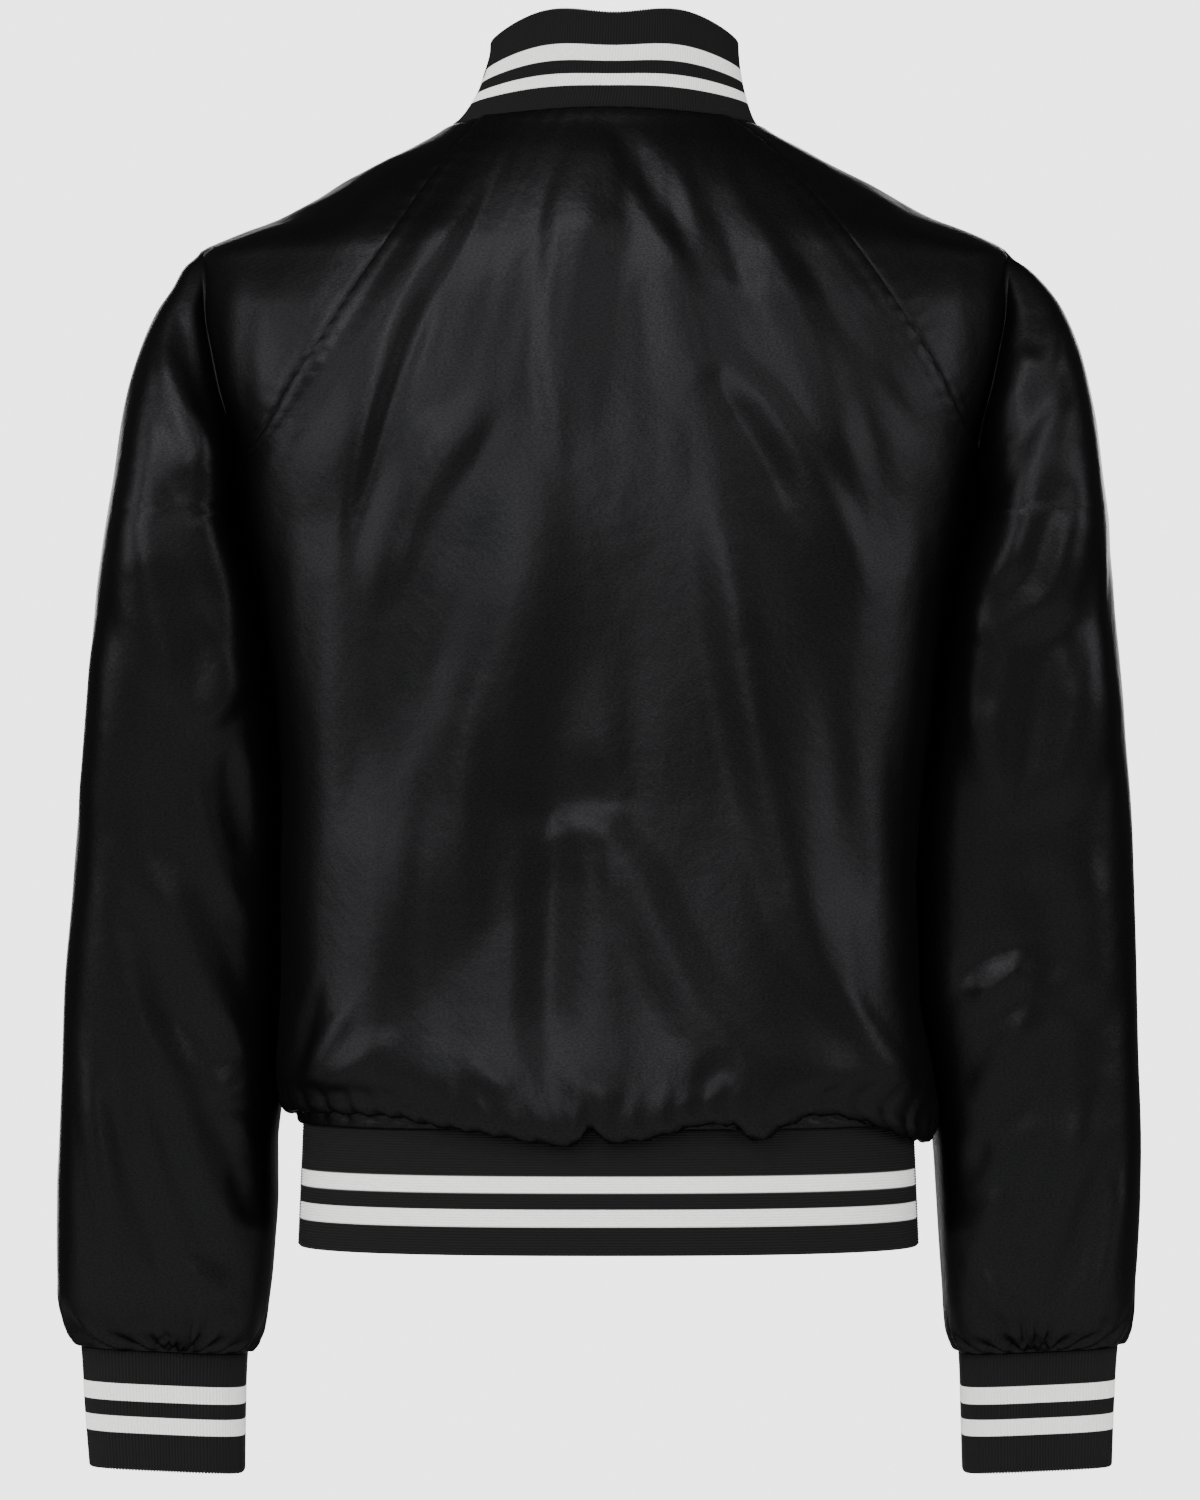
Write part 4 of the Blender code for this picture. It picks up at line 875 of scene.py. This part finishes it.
def smooth_route(route, cuts=5):
    """Points of a soft curve through a fold's route."""
    route = np.array(route, float)
    ends = np.concatenate([[2 * route[0] - route[1]], route, [2 * route[-1] - route[-2]]])
    share = np.linspace(0, 1, cuts, endpoint=False)[:, None]
    legs = []
    for before, start, end, after in zip(ends, ends[1:], ends[2:], ends[3:]):
        legs.append(start + 0.5 * share * (end - before + share * (
            2 * before - 5 * start + 4 * end - after + share * (3 * start - before - 3 * end + after))))
    return np.concatenate(legs + [ends[-2:-1]])


def fold_lift(folds, place):
    """Sum of the folds at places in a view.

    A fold falls off over its own width on each side of its route: the first width is on the left
    of a route that runs down, and below one that runs to the right.
    """
    lift = np.zeros(place.shape[:-1])
    for route, left_width, right_width, height in folds:
        line = smooth_route(route)
        widest = max(left_width, right_width)
        near = ((place > line.min(0) - widest) & (place < line.max(0) + widest)).all(-1)
        spot = place[near]
        legs = np.linalg.norm(np.diff(line, axis=0), axis=1)
        total = legs.sum()
        gap = np.full(len(spot), np.inf)
        along = np.zeros(len(spot))
        width = np.full(len(spot), float(left_width))
        for k, leg in enumerate(legs):
            way = (line[k + 1] - line[k]) / leg
            offset = spot - line[k]
            on = np.clip(offset @ way, 0, leg)
            off = np.linalg.norm(offset - on[:, None] * way, axis=1)
            side = offset @ (-way[1], way[0]) / np.maximum(off, 1e-6)
            closer = off < gap
            along = np.where(closer, legs[:k].sum() + on, along)
            width = np.where(closer, mix(right_width, left_width, ease(side / 2 + 0.5)), width)
            gap = np.minimum(gap, off)
        taper = ease(along / (0.3 * total)) * ease((total - along) / (0.3 * total))
        width = width * (0.55 + 0.45 * taper)
        lift[near] += height * (0.1 + 0.9 * taper) * ease(1 - gap / width)
    return lift


def noise_at(form, across, along, seed):
    """Smooth unevenness, with the size of its swells across and along the body."""
    spots = form.reshape(-1, 3) / (across, across, along) + (seed, 0, 2 * seed)
    return np.array([noise.noise(spot) for spot in spots.tolist()]).reshape(form.shape[:2])


def fanned(form):
    """The body's form with its upper part spread out sideways, so that streaks fan from the collar."""
    spread_out = FAN_NARROW + FAN_OPENING * ease(-form[..., 2] / FAN_REACH)
    return form / np.stack([spread_out, np.ones_like(spread_out), np.ones_like(spread_out)], -1)


def swells(form, seed):
    """Unevenness that worn satin has all over: long soft swells, streaks and a few small creases."""
    long_ones = 1.7 * noise_at(form, 60, 150, seed)
    long_ones += STREAK * noise_at(form, 22, 240, seed + 17)
    short_ones = 0.35 * noise_at(form, 24, 60, seed + 3)
    creases = 0.3 * ease(1 - 4 * np.abs(noise_at(form, 30, 90, seed + 7)))
    return long_ones + short_ones + creases * ease(2 * noise_at(form, 60, 90, seed + 11))


def puckers(away, along, seed, size=PUCKER):
    """Small ripples across a seam, that die out away from it."""
    wander = np.sin(along / 31 + seed) + 0.6 * np.sin(along / 13 + 2 * seed)
    strength = 0.45 + 0.55 * np.sin(along / 47 + 3 * seed) ** 2
    fade = np.exp(-away / PUCKER_REACH) * ease(away / 2)
    return size * strength * fade * np.sin(2 * math.pi * along / PUCKER_PITCH + 1.4 * wander)


def sewn_edge(away):
    """How far a sewn edge is drawn in, with the seam's layers swelling just beside it."""
    return SEAM_SWELL * np.exp(-((away - 6) / 3) ** 2) - SEAM_DIP * ease(1 - away / SEAM_EDGE)


def set_back(form, axis, first=True):
    """Move the edge row or column of a panel off the seam line."""
    form = np.moveaxis(form, axis, 0)
    edge, inner = (0, 1) if first else (-1, -2)
    away = form[inner] - form[edge]
    form[edge] += SEAM_SETBACK * away / np.maximum(np.linalg.norm(away, axis=1), 1e-6)[:, None]


def write_cloth(name, form, wall, finish, places, stripe=None, closed=0, solid=False):
    """Write a grid of points as an object with its wall going inward.

    closed is the first row from which the two side edges are one seam.
    """
    rows, columns = form.shape[0] - 1, form.shape[1] - 1
    sheet = bmesh.new()
    uv = sheet.loops.layers.uv.new("cloth")
    shade = sheet.verts.layers.float.new("stripe")
    bmesh.ops.create_grid(sheet, x_segments=columns, y_segments=rows, size=0.5)
    sheet.verts.index_update()
    spots = [(round((v.co.y + 0.5) * rows), round((v.co.x + 0.5) * columns)) for v in sheet.verts]
    metres = form * MM
    for vertex, (row, column) in zip(sheet.verts, spots):
        vertex.co = metres[row, column]
        vertex[shade] = 0 if stripe is None else stripe[row, column]
    for face in sheet.faces:
        for loop in face.loops:
            loop[uv].uv = places[spots[loop.vert.index]]
    if solid:
        bmesh.ops.remove_doubles(sheet, verts=sheet.verts, dist=1e-6)
        bmesh.ops.holes_fill(sheet, edges=sheet.edges, sides=0)
    elif closed is not None:
        side = [v for v, (row, column) in zip(sheet.verts, spots)
                if row >= closed and column in (0, columns)]
        bmesh.ops.remove_doubles(sheet, verts=side, dist=1e-6)
    bmesh.ops.recalc_face_normals(sheet, faces=sheet.faces)
    return finish_mesh(name, sheet, wall, finish, solid)


def finish_mesh(name, sheet, wall, finish, solid):
    mesh = bpy.data.meshes.new(name)
    sheet.to_mesh(mesh)
    sheet.free()
    mesh.shade_smooth()
    mesh.materials.append(finish)
    piece = bpy.data.objects.new(name, mesh)
    bpy.context.scene.collection.objects.link(piece)
    if not solid:
        cloth = piece.modifiers.new("wall", "SOLIDIFY")
        cloth.thickness = wall * MM
        cloth.offset = -1
    return piece


def cloth_places(form):
    """Places in the cloth's own plane, in tenths of a metre: threads run along and across it."""
    across = runs(form, 1)
    across -= across[:, -1:] / 2
    down = runs(form, 0)[:, form.shape[1] // 2][:, None] + 0 * across
    return np.stack([across, -down], -1) / 100


def turned_outward(form, middle):
    """Whether the columns run so that the faces look outward."""
    across, along = np.gradient(form, axis=1), np.gradient(form, axis=0)
    normals = np.cross(across, along)
    return ((form[..., :2] - np.asarray(middle)) * normals[..., :2]).sum() > 0


# ---------------------------------------------------------------- satin panels

BODY_FINE = fine_steps((0, SHOULDER_ROWS, SHOULDER_ROWS + BODY_ROWS - 1,
                        SHOULDER_ROWS + BODY_ROWS + len(BLOUSE)), (90, 104, 44))


def body_lift(form, seed, sides, flip):
    """Everything laid on a body panel's form: folds, swells, puckers and the sewn edges."""
    across, down = runs(form, 1), runs(form, 0)
    left, right = across, across[:, -1:] - across
    below = down[-1:] - down
    seam = np.minimum(left, right) if sides == 2 else left
    calm = ease(np.minimum(seam, down) / HOLD) * ease((below - 12) / ROLL_HOLD)
    if sides == 1:
        calm = calm * ease((right - 4) / PLACKET_HOLD)
    place = form[..., [0, 2]] * (-1, 1) - (0, FOLD_MIRROR_SHIFT) if flip else seen(form)
    lift = fold_lift(BACK_FOLDS, place) * calm
    gentler = FAN_GENTLE + FAN_RISE * ease(-form[..., 2] / FAN_REACH)
    lift += swells(fanned(form), seed) * gentler * (0.08 + 0.92 * calm)
    lift += puckers(left, down, seed) + sewn_edge(left) + sewn_edge(down)
    lift += puckers(down, across, seed + 5, 0.5 * PUCKER)
    if sides == 2:
        lift += puckers(right, down, seed + 2) + sewn_edge(right)
    else:
        lift += placket_lift(right)
    lift += hem_gathers(across, below, seed)
    return lift


def hem_gathers(across, below, seed):
    """Fullness that the band's seam draws up, strongest on the underside of the roll."""
    wave = np.sin(2 * math.pi * across / 17 + 1.7 * np.sin(across / 29 + seed))
    wave = wave + 0.5 * np.sin(2 * math.pi * across / 9.5 + 2 * np.sin(across / 37 + 2 * seed))
    return HEM_GATHER * wave * ease(below / 10) * ease((52 - below) / 40)


def placket_lift(right):
    """The folded edge of the opening and its line of stitches."""
    return (PLACKET_EDGE * ease(1 - right / 3) * -1
            - STITCH_DIP * np.exp(-((right - PLACKET_WIDTH) / 0.9) ** 2))


def make_back(finish):
    steps = fine_steps((0, 1, BACK_COLUMNS - 1, BACK_COLUMNS), (5, 140, 5))
    form = body_form(back_points, steps, BODY_FINE)
    normals = normals_of(form, (0, 0))
    lift = body_lift(form, 1.3, 2, False)
    form = form + normals * lift[..., None]
    set_back(form, 1)
    set_back(form, 1, False)
    set_back(form, 0)
    return sewn_piece("back_satin", "back", form, finish, (0, 0))


def sewn_piece(name, node, form, finish, middle, closed=None):
    places = cloth_places(form)
    if not turned_outward(form, middle):
        form, places = form[:, ::-1], places[:, ::-1]
    piece = write_cloth(name, form, SATIN_WALL, finish, places, closed=closed)
    return declare(piece, node)


def make_front(side, finish):
    steps = fine_steps((0, 1, FRONT_COLUMNS), (5, 78))
    form = body_form(lambda step, row: front_points(side, step, row), steps, BODY_FINE)
    normals = normals_of(form, (0, 0))
    seed = 4.1 if side == "left" else 6.7
    lift = body_lift(form, seed, 1, True)
    form = form + normals * lift[..., None]
    set_back(form, 1)
    set_back(form, 0)
    return sewn_piece("front_satin_" + side, "front_" + side, form, finish, (0, 0))


SLEEVE_FINE = fine_steps((0, SHOULDER_ROWS, SHOULDER_ROWS + ARM_ROWS - len(TURN_IN),
                          SHOULDER_ROWS + ARM_ROWS), (80, 146, 24))


def gathers(angle, height, seed):
    """Fullness drawn up into the cuff: uneven pleats all round."""
    wave = np.cos(GATHERS * angle + 1.5 * np.sin(2 * angle + seed) + 0.9 * np.sin(5 * angle + 2 * seed))
    fine = np.cos(2.3 * GATHERS * angle + 2 * np.sin(3 * angle + seed))
    reach = GATHER_REACH * (0.62 + 0.38 * np.sin(3 * angle + 4 * seed))
    near = ease(1 - (height - CUFF_TOP) / reach)
    sharp = np.sign(wave) * np.abs(wave) ** 0.8
    return (GATHER_DEPTH * sharp + 0.6 * fine) * near * ease((height - CUFF_TOP) / 3)


def make_sleeve(side, finish):
    steps = fine_steps((0, 1, YOKE_COLUMNS, SLEEVE_COLUMNS - YOKE_COLUMNS, SLEEVE_COLUMNS - 1,
                        SLEEVE_COLUMNS), (5, 26, 84, 26, 5))
    form = spread(lambda step, row: sleeve_points(side, step, row), steps, SLEEVE_FINE)
    sign = 1 if side == "left" else -1
    form[..., 0] *= sign
    middle = (sign * ARM_LINE, ARM_FORWARD)
    normals = normals_of(form, middle)
    tube = SLEEVE_FINE >= SHOULDER_ROWS
    joined = normals[tube, 0] + normals[tube, -1]
    joined /= np.linalg.norm(joined, axis=1)[:, None]
    normals[tube, 0] = joined
    normals[tube, -1] = joined
    across, down = runs(form, 1), runs(form, 0)
    raglan_run = np.minimum(across, across[:, -1:] - across)
    below = SLEEVE_FINE[:, None] - SHOULDER_ROWS
    seam = np.where(below > 0, raglan_run + 30 * below, raglan_run)
    calm = ease(np.minimum(seam, down) / HOLD) * ease((form[..., 2] - CUFF_TOP - 4) / HOLD)
    folds = SLEEVE_FOLDS_LEFT if side == "left" else SLEEVE_FOLDS_RIGHT
    inner = arms["inner_" + side](np.minimum(form[..., 2], UNDERARM))
    calm = calm * mix(1, ease((sign * form[..., 0] - inner) / HUG), form[..., 2] < UNDERARM)
    behind = fold_lift(folds, seen(form)) * ease(normals[..., 1] / 0.3 + 0.15)
    other = SLEEVE_FOLDS_RIGHT if side == "left" else SLEEVE_FOLDS_LEFT
    before = fold_lift(other, form[..., [0, 2]] * (-1, 1) - (0, FOLD_MIRROR_SHIFT))
    before = before * ease(-normals[..., 1] / 0.3 + 0.15)
    seed = 2.2 if side == "left" else 5.4
    lift = (behind + before) * calm + swells(form, seed) * (0.08 + 0.92 * calm)
    angle = np.arctan2(form[..., 1] - ARM_FORWARD, sign * form[..., 0] - ARM_LINE)
    lift += gathers(angle, form[..., 2] - CUFF_TILT * (sign * form[..., 0] - ARM_LINE), seed)
    stitched = puckers(seam, down, seed) + sewn_edge(seam)
    lift += stitched + sewn_edge(down)
    lift[tube, -1] = lift[tube, 0]
    form = form + normals * lift[..., None]
    upper = form[~tube]
    set_back(upper, 1)
    set_back(upper, 1, False)
    set_back(upper, 0)
    form[~tube] = upper
    closed = int(np.argmax(tube))
    return sewn_piece("sleeve_satin_" + side, "sleeve_" + side, form, finish, middle, closed)


# ---------------------------------------------------------------- rib knit

def ribbed(run, pitch):
    """Height of a rounded rib at a distance across the ribs."""
    return RIB_DEPTH * (np.abs(np.sin(math.pi * run / pitch)) ** 0.7 - 1)


def knit_form(outer, part, rise, ribs, ring):
    """Closed section of a folded knit: up the outside, over the fold, down the inside."""
    across, up = np.meshgrid(part, rise)
    face = outer(across.ravel(), up.ravel()).reshape(across.shape + (3,))
    normals = normals_of(face, face[..., :2].mean((0, 1)))
    if ring:
        normals[:, 0] += normals[:, -1]
        normals[:, 0] /= np.linalg.norm(normals[:, 0], axis=1)[:, None]
        normals[:, -1] = normals[:, 0]
    edge = face[-1] - face[-2]
    edge /= np.linalg.norm(edge, axis=1)[:, None]
    half = KNIT_WALL / 2
    outside = face + normals * ribs(across, up)[..., None]
    inside = (face - normals * (KNIT_WALL + 0.4 * ribs(across, up)[..., None]))[inner_rows(rise)]
    turns = np.linspace(0, math.pi, 6)[1:-1, None, None]
    core = face[-1] - normals[-1] * half
    deep = half + ribs(across, up)[-1][:, None]
    fold = core + (normals[-1] * np.cos(turns) + edge * np.sin(turns)) * deep
    return np.concatenate([outside, fold, inside, outside[:1]])


def inner_rows(rise):
    """Every second row from the folded edge back to the seam."""
    return np.append(np.arange(len(rise) - 1, 0, -2), 0)


def knit_piece(name, node, outer, part, rise, ribs, stripes, ring):
    form = knit_form(outer, part, rise, ribs, ring)
    across, up = np.meshgrid(part, rise)
    shade = stripes(across, up)
    inner = shade[inner_rows(rise)]
    stripe = np.concatenate([shade, np.repeat(shade[-1:], 4, 0), inner, shade[:1]])
    places = cloth_places(form)
    centre = form[..., :2].mean((0, 1))
    if not turned_outward(form[:len(rise)], centre):
        form, places, stripe = form[:, ::-1], places[:, ::-1], stripe[:, ::-1]
    piece = write_cloth(name, form, KNIT_WALL, KNIT, places, stripe, solid=True)
    return declare(piece, node)


def striped(up, bands, soft=0.004):
    """1 in each band of the rise, 0 outside."""
    shade = np.zeros_like(up)
    for low, high in bands:
        shade = np.maximum(shade, np.clip((up - low) / soft + 0.5, 0, 1)
                           * np.clip((high - up) / soft + 0.5, 0, 1))
    return shade


def rows_with(bands, count, soft=0.004):
    """Even rows from 0 to 1, with a close pair at each edge of each band."""
    edges = [edge + side * soft for low, high in bands for edge in (low, high) for side in (-0.5, 0.5)]
    even = [row for row in np.linspace(0, 1, count) if all(abs(row - edge) > soft for edge in edges)]
    return np.array(sorted(even + edges))


def make_collar():
    part = np.linspace(0, 1, COLLAR_RIBS * 4 + 1)
    top = 1 - KNIT_WALL / 2 / COLLAR_RISE
    return knit_piece(
        "collar_knit", "collar", lambda p, r: collar_points(p, r * top), part,
        rows_with(COLLAR_STRIPES, 24), lambda p, r: ribbed(p * COLLAR_RIBS, 1),
        lambda p, r: striped(r, COLLAR_STRIPES), False)


def band_outer(part, rise):
    end = math.pi + LAP / BAND_HALF_WIDTH
    turn = mix(end, -end, part)
    length = 1 - KNIT_WALL / 2 / (BAND_TOP - BAND_BOTTOM)
    points = band_point(turn, mix(BAND_TOP, BAND_BOTTOM, rise * length))
    under = np.where((turn < 0) & (points[:, 1] < 0), under_lap(points[:, 0]), 0)
    points[:, 1] += (KNIT_WALL + LAP_GAP) * under
    return points


def shaded_band_stripes(part, rise):
    """The stripes are painted out in black near each side seam: painted shade where the band turns
    away.
    """
    end = math.pi + LAP / BAND_HALF_WIDTH
    turn = mix(end, -end, part)
    aside = np.abs(np.abs(turn) - math.pi / 2)
    return striped(rise, BAND_STRIPES) * ease((aside - SHADED_SIDE) / SHADE_FADE)


def make_band():
    part = np.linspace(0, 1, 150)
    return knit_piece(
        "hem_band_knit", "hem_band", band_outer, part, np.linspace(0, 1, BAND_RIBS * 4 + 1),
        lambda p, r: ribbed(r * BAND_RIBS, 1), shaded_band_stripes, False)


def make_cuff(side):
    sign = 1 if side == "left" else -1

    def outer(part, rise):
        length = 1 - KNIT_WALL / 2 / (CUFF_TOP - CUFF_BOTTOM)
        height = mix(CUFF_TOP - CUFF_GAP, CUFF_BOTTOM, rise * length)
        angle = mix(math.pi, -math.pi, part)
        middle, half_width, depth, centre = arm_sizes(side, height)
        x, y = arm_oval(angle, middle, half_width, depth, centre)
        return np.stack([sign * x, y, height + CUFF_TILT * (x - middle)], -1)

    return knit_piece(
        "cuff_knit_" + side, "cuff_" + side, outer, np.linspace(0, 1, CUFF_RIBS * 4 + 1),
        rows_with(CUFF_STRIPES, 18), lambda p, r: ribbed(p * CUFF_RIBS, 1),
        lambda p, r: striped(r, CUFF_STRIPES), True)


# ---------------------------------------------------------------- finishes

def linear(code):
    """Linear colour from an sRGB code such as 1a1a1c."""
    parts = [int(code[k:k + 2], 16) / 255 for k in (0, 2, 4)]
    return tuple(c / 12.92 if c < 0.04045 else ((c + 0.055) / 1.055) ** 2.4 for c in parts) + (1,)


def add(tree, kind, inputs=None, **settings):
    """Add a node with its settings, and set or link its inputs."""
    made = tree.nodes.new(kind)
    for name, value in settings.items():
        setattr(made, name, value)
    for name, value in (inputs or {}).items():
        if isinstance(value, bpy.types.NodeSocket):
            tree.links.new(value, made.inputs[name])
        else:
            made.inputs[name].default_value = value
    return made


def new_finish(name):
    material = bpy.data.materials.new(name)
    material.use_nodes = True
    tree = material.node_tree
    return material, tree, tree.nodes["Principled BSDF"]


def satin_finish():
    """Black satin: a fine twill of floats that gives long soft highlights on a near-black cloth."""
    material, tree, shader = new_finish("black_satin_weave")
    cloth = add(tree, "ShaderNodeUVMap", uv_map="cloth").outputs[0]
    spot = add(tree, "ShaderNodeTexCoord").outputs["Object"]
    floats = add(tree, "ShaderNodeTexWave", {"Vector": cloth, "Scale": 31.4 / SATIN_THREAD / 10,
                 "Distortion": 0.6, "Detail": 1.0}, bands_direction="DIAGONAL")
    slubs = add(tree, "ShaderNodeTexNoise", {"Vector": cloth, "Scale": SLUBS, "Detail": 4.0})
    crinkle = add(tree, "ShaderNodeTexNoise", {"Vector": spot, "Scale": CRINKLE, "Detail": 3.0,
                  "Roughness": 0.55})
    cloudy = add(tree, "ShaderNodeTexNoise", {"Vector": spot, "Scale": CLOUDS, "Detail": 3.0})
    rough = add(tree, "ShaderNodeMapRange", {"Value": cloudy.outputs["Fac"], "From Min": 0.3,
                "From Max": 0.7, "To Min": SATIN_ROUGH[0], "To Max": SATIN_ROUGH[1]})
    thread = add(tree, "ShaderNodeMapping", {"Vector": cloth, "Scale": GRAIN}).outputs[0]
    grain = add(tree, "ShaderNodeTexNoise", {"Vector": thread, "Scale": 1.0, "Detail": 2.0})
    spread_grain = add(tree, "ShaderNodeMapRange", {"Value": grain.outputs["Fac"],
                       "From Min": 0.34, "From Max": 0.66}).outputs[0]
    tone = add(tree, "ShaderNodeMix", {"Factor": spread_grain, "A": linear(SATIN_SHADES[0]),
               "B": linear(SATIN_SHADES[1])}, data_type="RGBA")
    weave = add(tree, "ShaderNodeBump", {"Height": floats.outputs["Fac"], "Strength": 0.10,
                "Distance": 0.0001})
    fine = add(tree, "ShaderNodeBump", {"Height": slubs.outputs["Fac"], "Strength": 0.12,
               "Distance": 0.0004, "Normal": weave.outputs[0]})
    soft = add(tree, "ShaderNodeBump", {"Height": crinkle.outputs["Fac"], "Strength": 0.35,
               "Distance": 0.0012, "Normal": fine.outputs[0]})
    tree.links.new(tone.outputs["Result"], shader.inputs["Base Color"])
    tree.links.new(rough.outputs[0], shader.inputs["Roughness"])
    tree.links.new(soft.outputs[0], shader.inputs["Normal"])
    shader.inputs["Metallic"].default_value = SATIN_METAL
    shader.inputs["Specular IOR Level"].default_value = SATIN_SPECULAR
    shader.inputs["Specular Tint"].default_value = linear(SATIN_EDGE_TINT)
    return material


def knit_finish():
    """Rib knit: matt yarn with small stitches along each rib, black with white stripes."""
    material, tree, shader = new_finish("striped_rib_knit")
    cloth = add(tree, "ShaderNodeUVMap", uv_map="cloth").outputs[0]
    spot = add(tree, "ShaderNodeTexCoord").outputs["Object"]
    stripe = add(tree, "ShaderNodeAttribute", attribute_name="stripe")
    stitch = add(tree, "ShaderNodeTexWave", {"Vector": cloth, "Scale": 31.4 / KNIT_STITCH / 10,
                 "Distortion": 1.5, "Detail": 2.0}, bands_direction="Y")
    fuzz = add(tree, "ShaderNodeTexNoise", {"Vector": spot, "Scale": FUZZ, "Detail": 3.0})
    tint = add(tree, "ShaderNodeMix", {"Factor": fuzz.outputs["Fac"], "A": linear(YARN_BLACK[0]),
               "B": linear(YARN_BLACK[1])}, data_type="RGBA")
    pale = add(tree, "ShaderNodeMix", {"Factor": fuzz.outputs["Fac"], "A": linear(YARN_WHITE[0]),
               "B": linear(YARN_WHITE[1])}, data_type="RGBA")
    tone = add(tree, "ShaderNodeMix", {"Factor": stripe.outputs["Fac"], "A": tint.outputs["Result"],
               "B": pale.outputs["Result"]}, data_type="RGBA")
    loops = add(tree, "ShaderNodeBump", {"Height": stitch.outputs["Fac"], "Strength": 0.35,
                "Distance": 0.0003})
    hairy = add(tree, "ShaderNodeBump", {"Height": fuzz.outputs["Fac"], "Strength": 0.3,
                "Distance": 0.0003, "Normal": loops.outputs[0]})
    tree.links.new(tone.outputs["Result"], shader.inputs["Base Color"])
    tree.links.new(hairy.outputs[0], shader.inputs["Normal"])
    shader.inputs["Roughness"].default_value = 0.9
    shader.inputs["Specular IOR Level"].default_value = 0.2
    return material


def enamel_finish():
    """Gloss enamel on the stud caps, a little uneven from the press."""
    material, tree, shader = new_finish("black_gloss_enamel")
    spot = add(tree, "ShaderNodeTexCoord").outputs["Object"]
    ripple = add(tree, "ShaderNodeTexNoise", {"Vector": spot, "Scale": 400.0, "Detail": 2.0})
    rough = add(tree, "ShaderNodeMapRange", {"Value": ripple.outputs["Fac"], "To Min": 0.16,
                "To Max": 0.3})
    bump = add(tree, "ShaderNodeBump", {"Height": ripple.outputs["Fac"], "Strength": 0.1,
               "Distance": 0.0003})
    shader.inputs["Base Color"].default_value = linear("101011")
    tree.links.new(rough.outputs[0], shader.inputs["Roughness"])
    tree.links.new(bump.outputs[0], shader.inputs["Normal"])
    return material


def stage_finish():
    """Pale matt paper of the studio floor."""
    material, tree, shader = new_finish("pale_paper")
    spot = add(tree, "ShaderNodeTexCoord").outputs["Object"]
    grain = add(tree, "ShaderNodeTexNoise", {"Vector": spot, "Scale": 3.0, "Detail": 2.0})
    tone = add(tree, "ShaderNodeMix", {"Factor": grain.outputs["Fac"], "A": linear("f4f4f4"),
               "B": linear("fafafa")}, data_type="RGBA")
    tree.links.new(tone.outputs["Result"], shader.inputs["Base Color"])
    shader.inputs["Roughness"].default_value = 0.9
    return material


# ---------------------------------------------------------------- stage, light and camera

def make_stage():
    """A round sheet of paper as the floor, out of sight below the picture."""
    sheet = bmesh.new()
    bmesh.ops.create_circle(sheet, cap_ends=True, radius=FLOOR_RADIUS * MM, segments=96)
    bmesh.ops.translate(sheet, verts=sheet.verts, vec=(0, 0, FLOOR_HEIGHT * MM))
    piece = finish_mesh("paper_floor", sheet, 0, stage_finish(), True)


def add_light(name, place, aim, size, power):
    """A soft box of a given width and height, at a place in millimetres, aimed at a point."""
    data = bpy.data.lights.new(name, "AREA")
    data.shape = "RECTANGLE"
    data.size, data.size_y = size[0] * MM, size[1] * MM
    data.energy = power
    lamp = bpy.data.objects.new(name, data)
    lamp.location = Vector(place) * MM
    lamp.rotation_euler = (Vector(aim) - Vector(place)).to_track_quat("-Z", "Y").to_euler()
    bpy.context.scene.collection.objects.link(lamp)


def make_lights():
    for name, place, aim, size, power in LIGHTS:
        add_light(name, place, aim, size, power)
    world = bpy.data.worlds.new("studio")
    world.use_nodes = True
    seen_directly = add(world.node_tree, "ShaderNodeLightPath").outputs["Is Camera Ray"]
    strength = add(world.node_tree, "ShaderNodeMapRange", {"Value": seen_directly,
                   "To Min": WORLD_STRENGTH, "To Max": BACKDROP_STRENGTH})
    sky = world.node_tree.nodes["Background"]
    sky.inputs["Color"].default_value = linear("ececec")
    world.node_tree.links.new(strength.outputs[0], sky.inputs["Strength"])
    bpy.context.scene.world = world


def make_camera():
    data = bpy.data.cameras.new("camera")
    data.lens = 36 * CAMERA[1] / VIEW_HEIGHT
    camera = bpy.data.objects.new("camera", data)
    camera.location = Vector(CAMERA) * MM
    camera.rotation_euler = (math.pi / 2, 0, math.pi)
    bpy.context.scene.collection.objects.link(camera)
    bpy.context.scene.camera = camera


def declare(piece, node):
    """Hide the piece's solid and tie the piece to the root body; the cloth's cut is looked up but not
    used.
    """
    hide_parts(node)
    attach(piece, "root")
    side = node[node.rfind("_"):] if node.endswith(("_left", "_right")) else ""
    flat, area, held, rests = CUTS[node.removesuffix(side)]
    rests = [name + side if name == "sleeve" else name for name in rests]
    return piece


SATIN = satin_finish()
KNIT = knit_finish()
make_back(SATIN)
for side in ("left", "right"):
    make_front(side, SATIN)
    make_sleeve(side, SATIN)
    make_cuff(side)
make_collar()
make_band()
enamel = enamel_finish()
for name in frame["nodes"]:
    if name.startswith("snap"):
        bpy.data.objects[name].material_slots[0].material = enamel
make_stage()
make_lights()
make_camera()
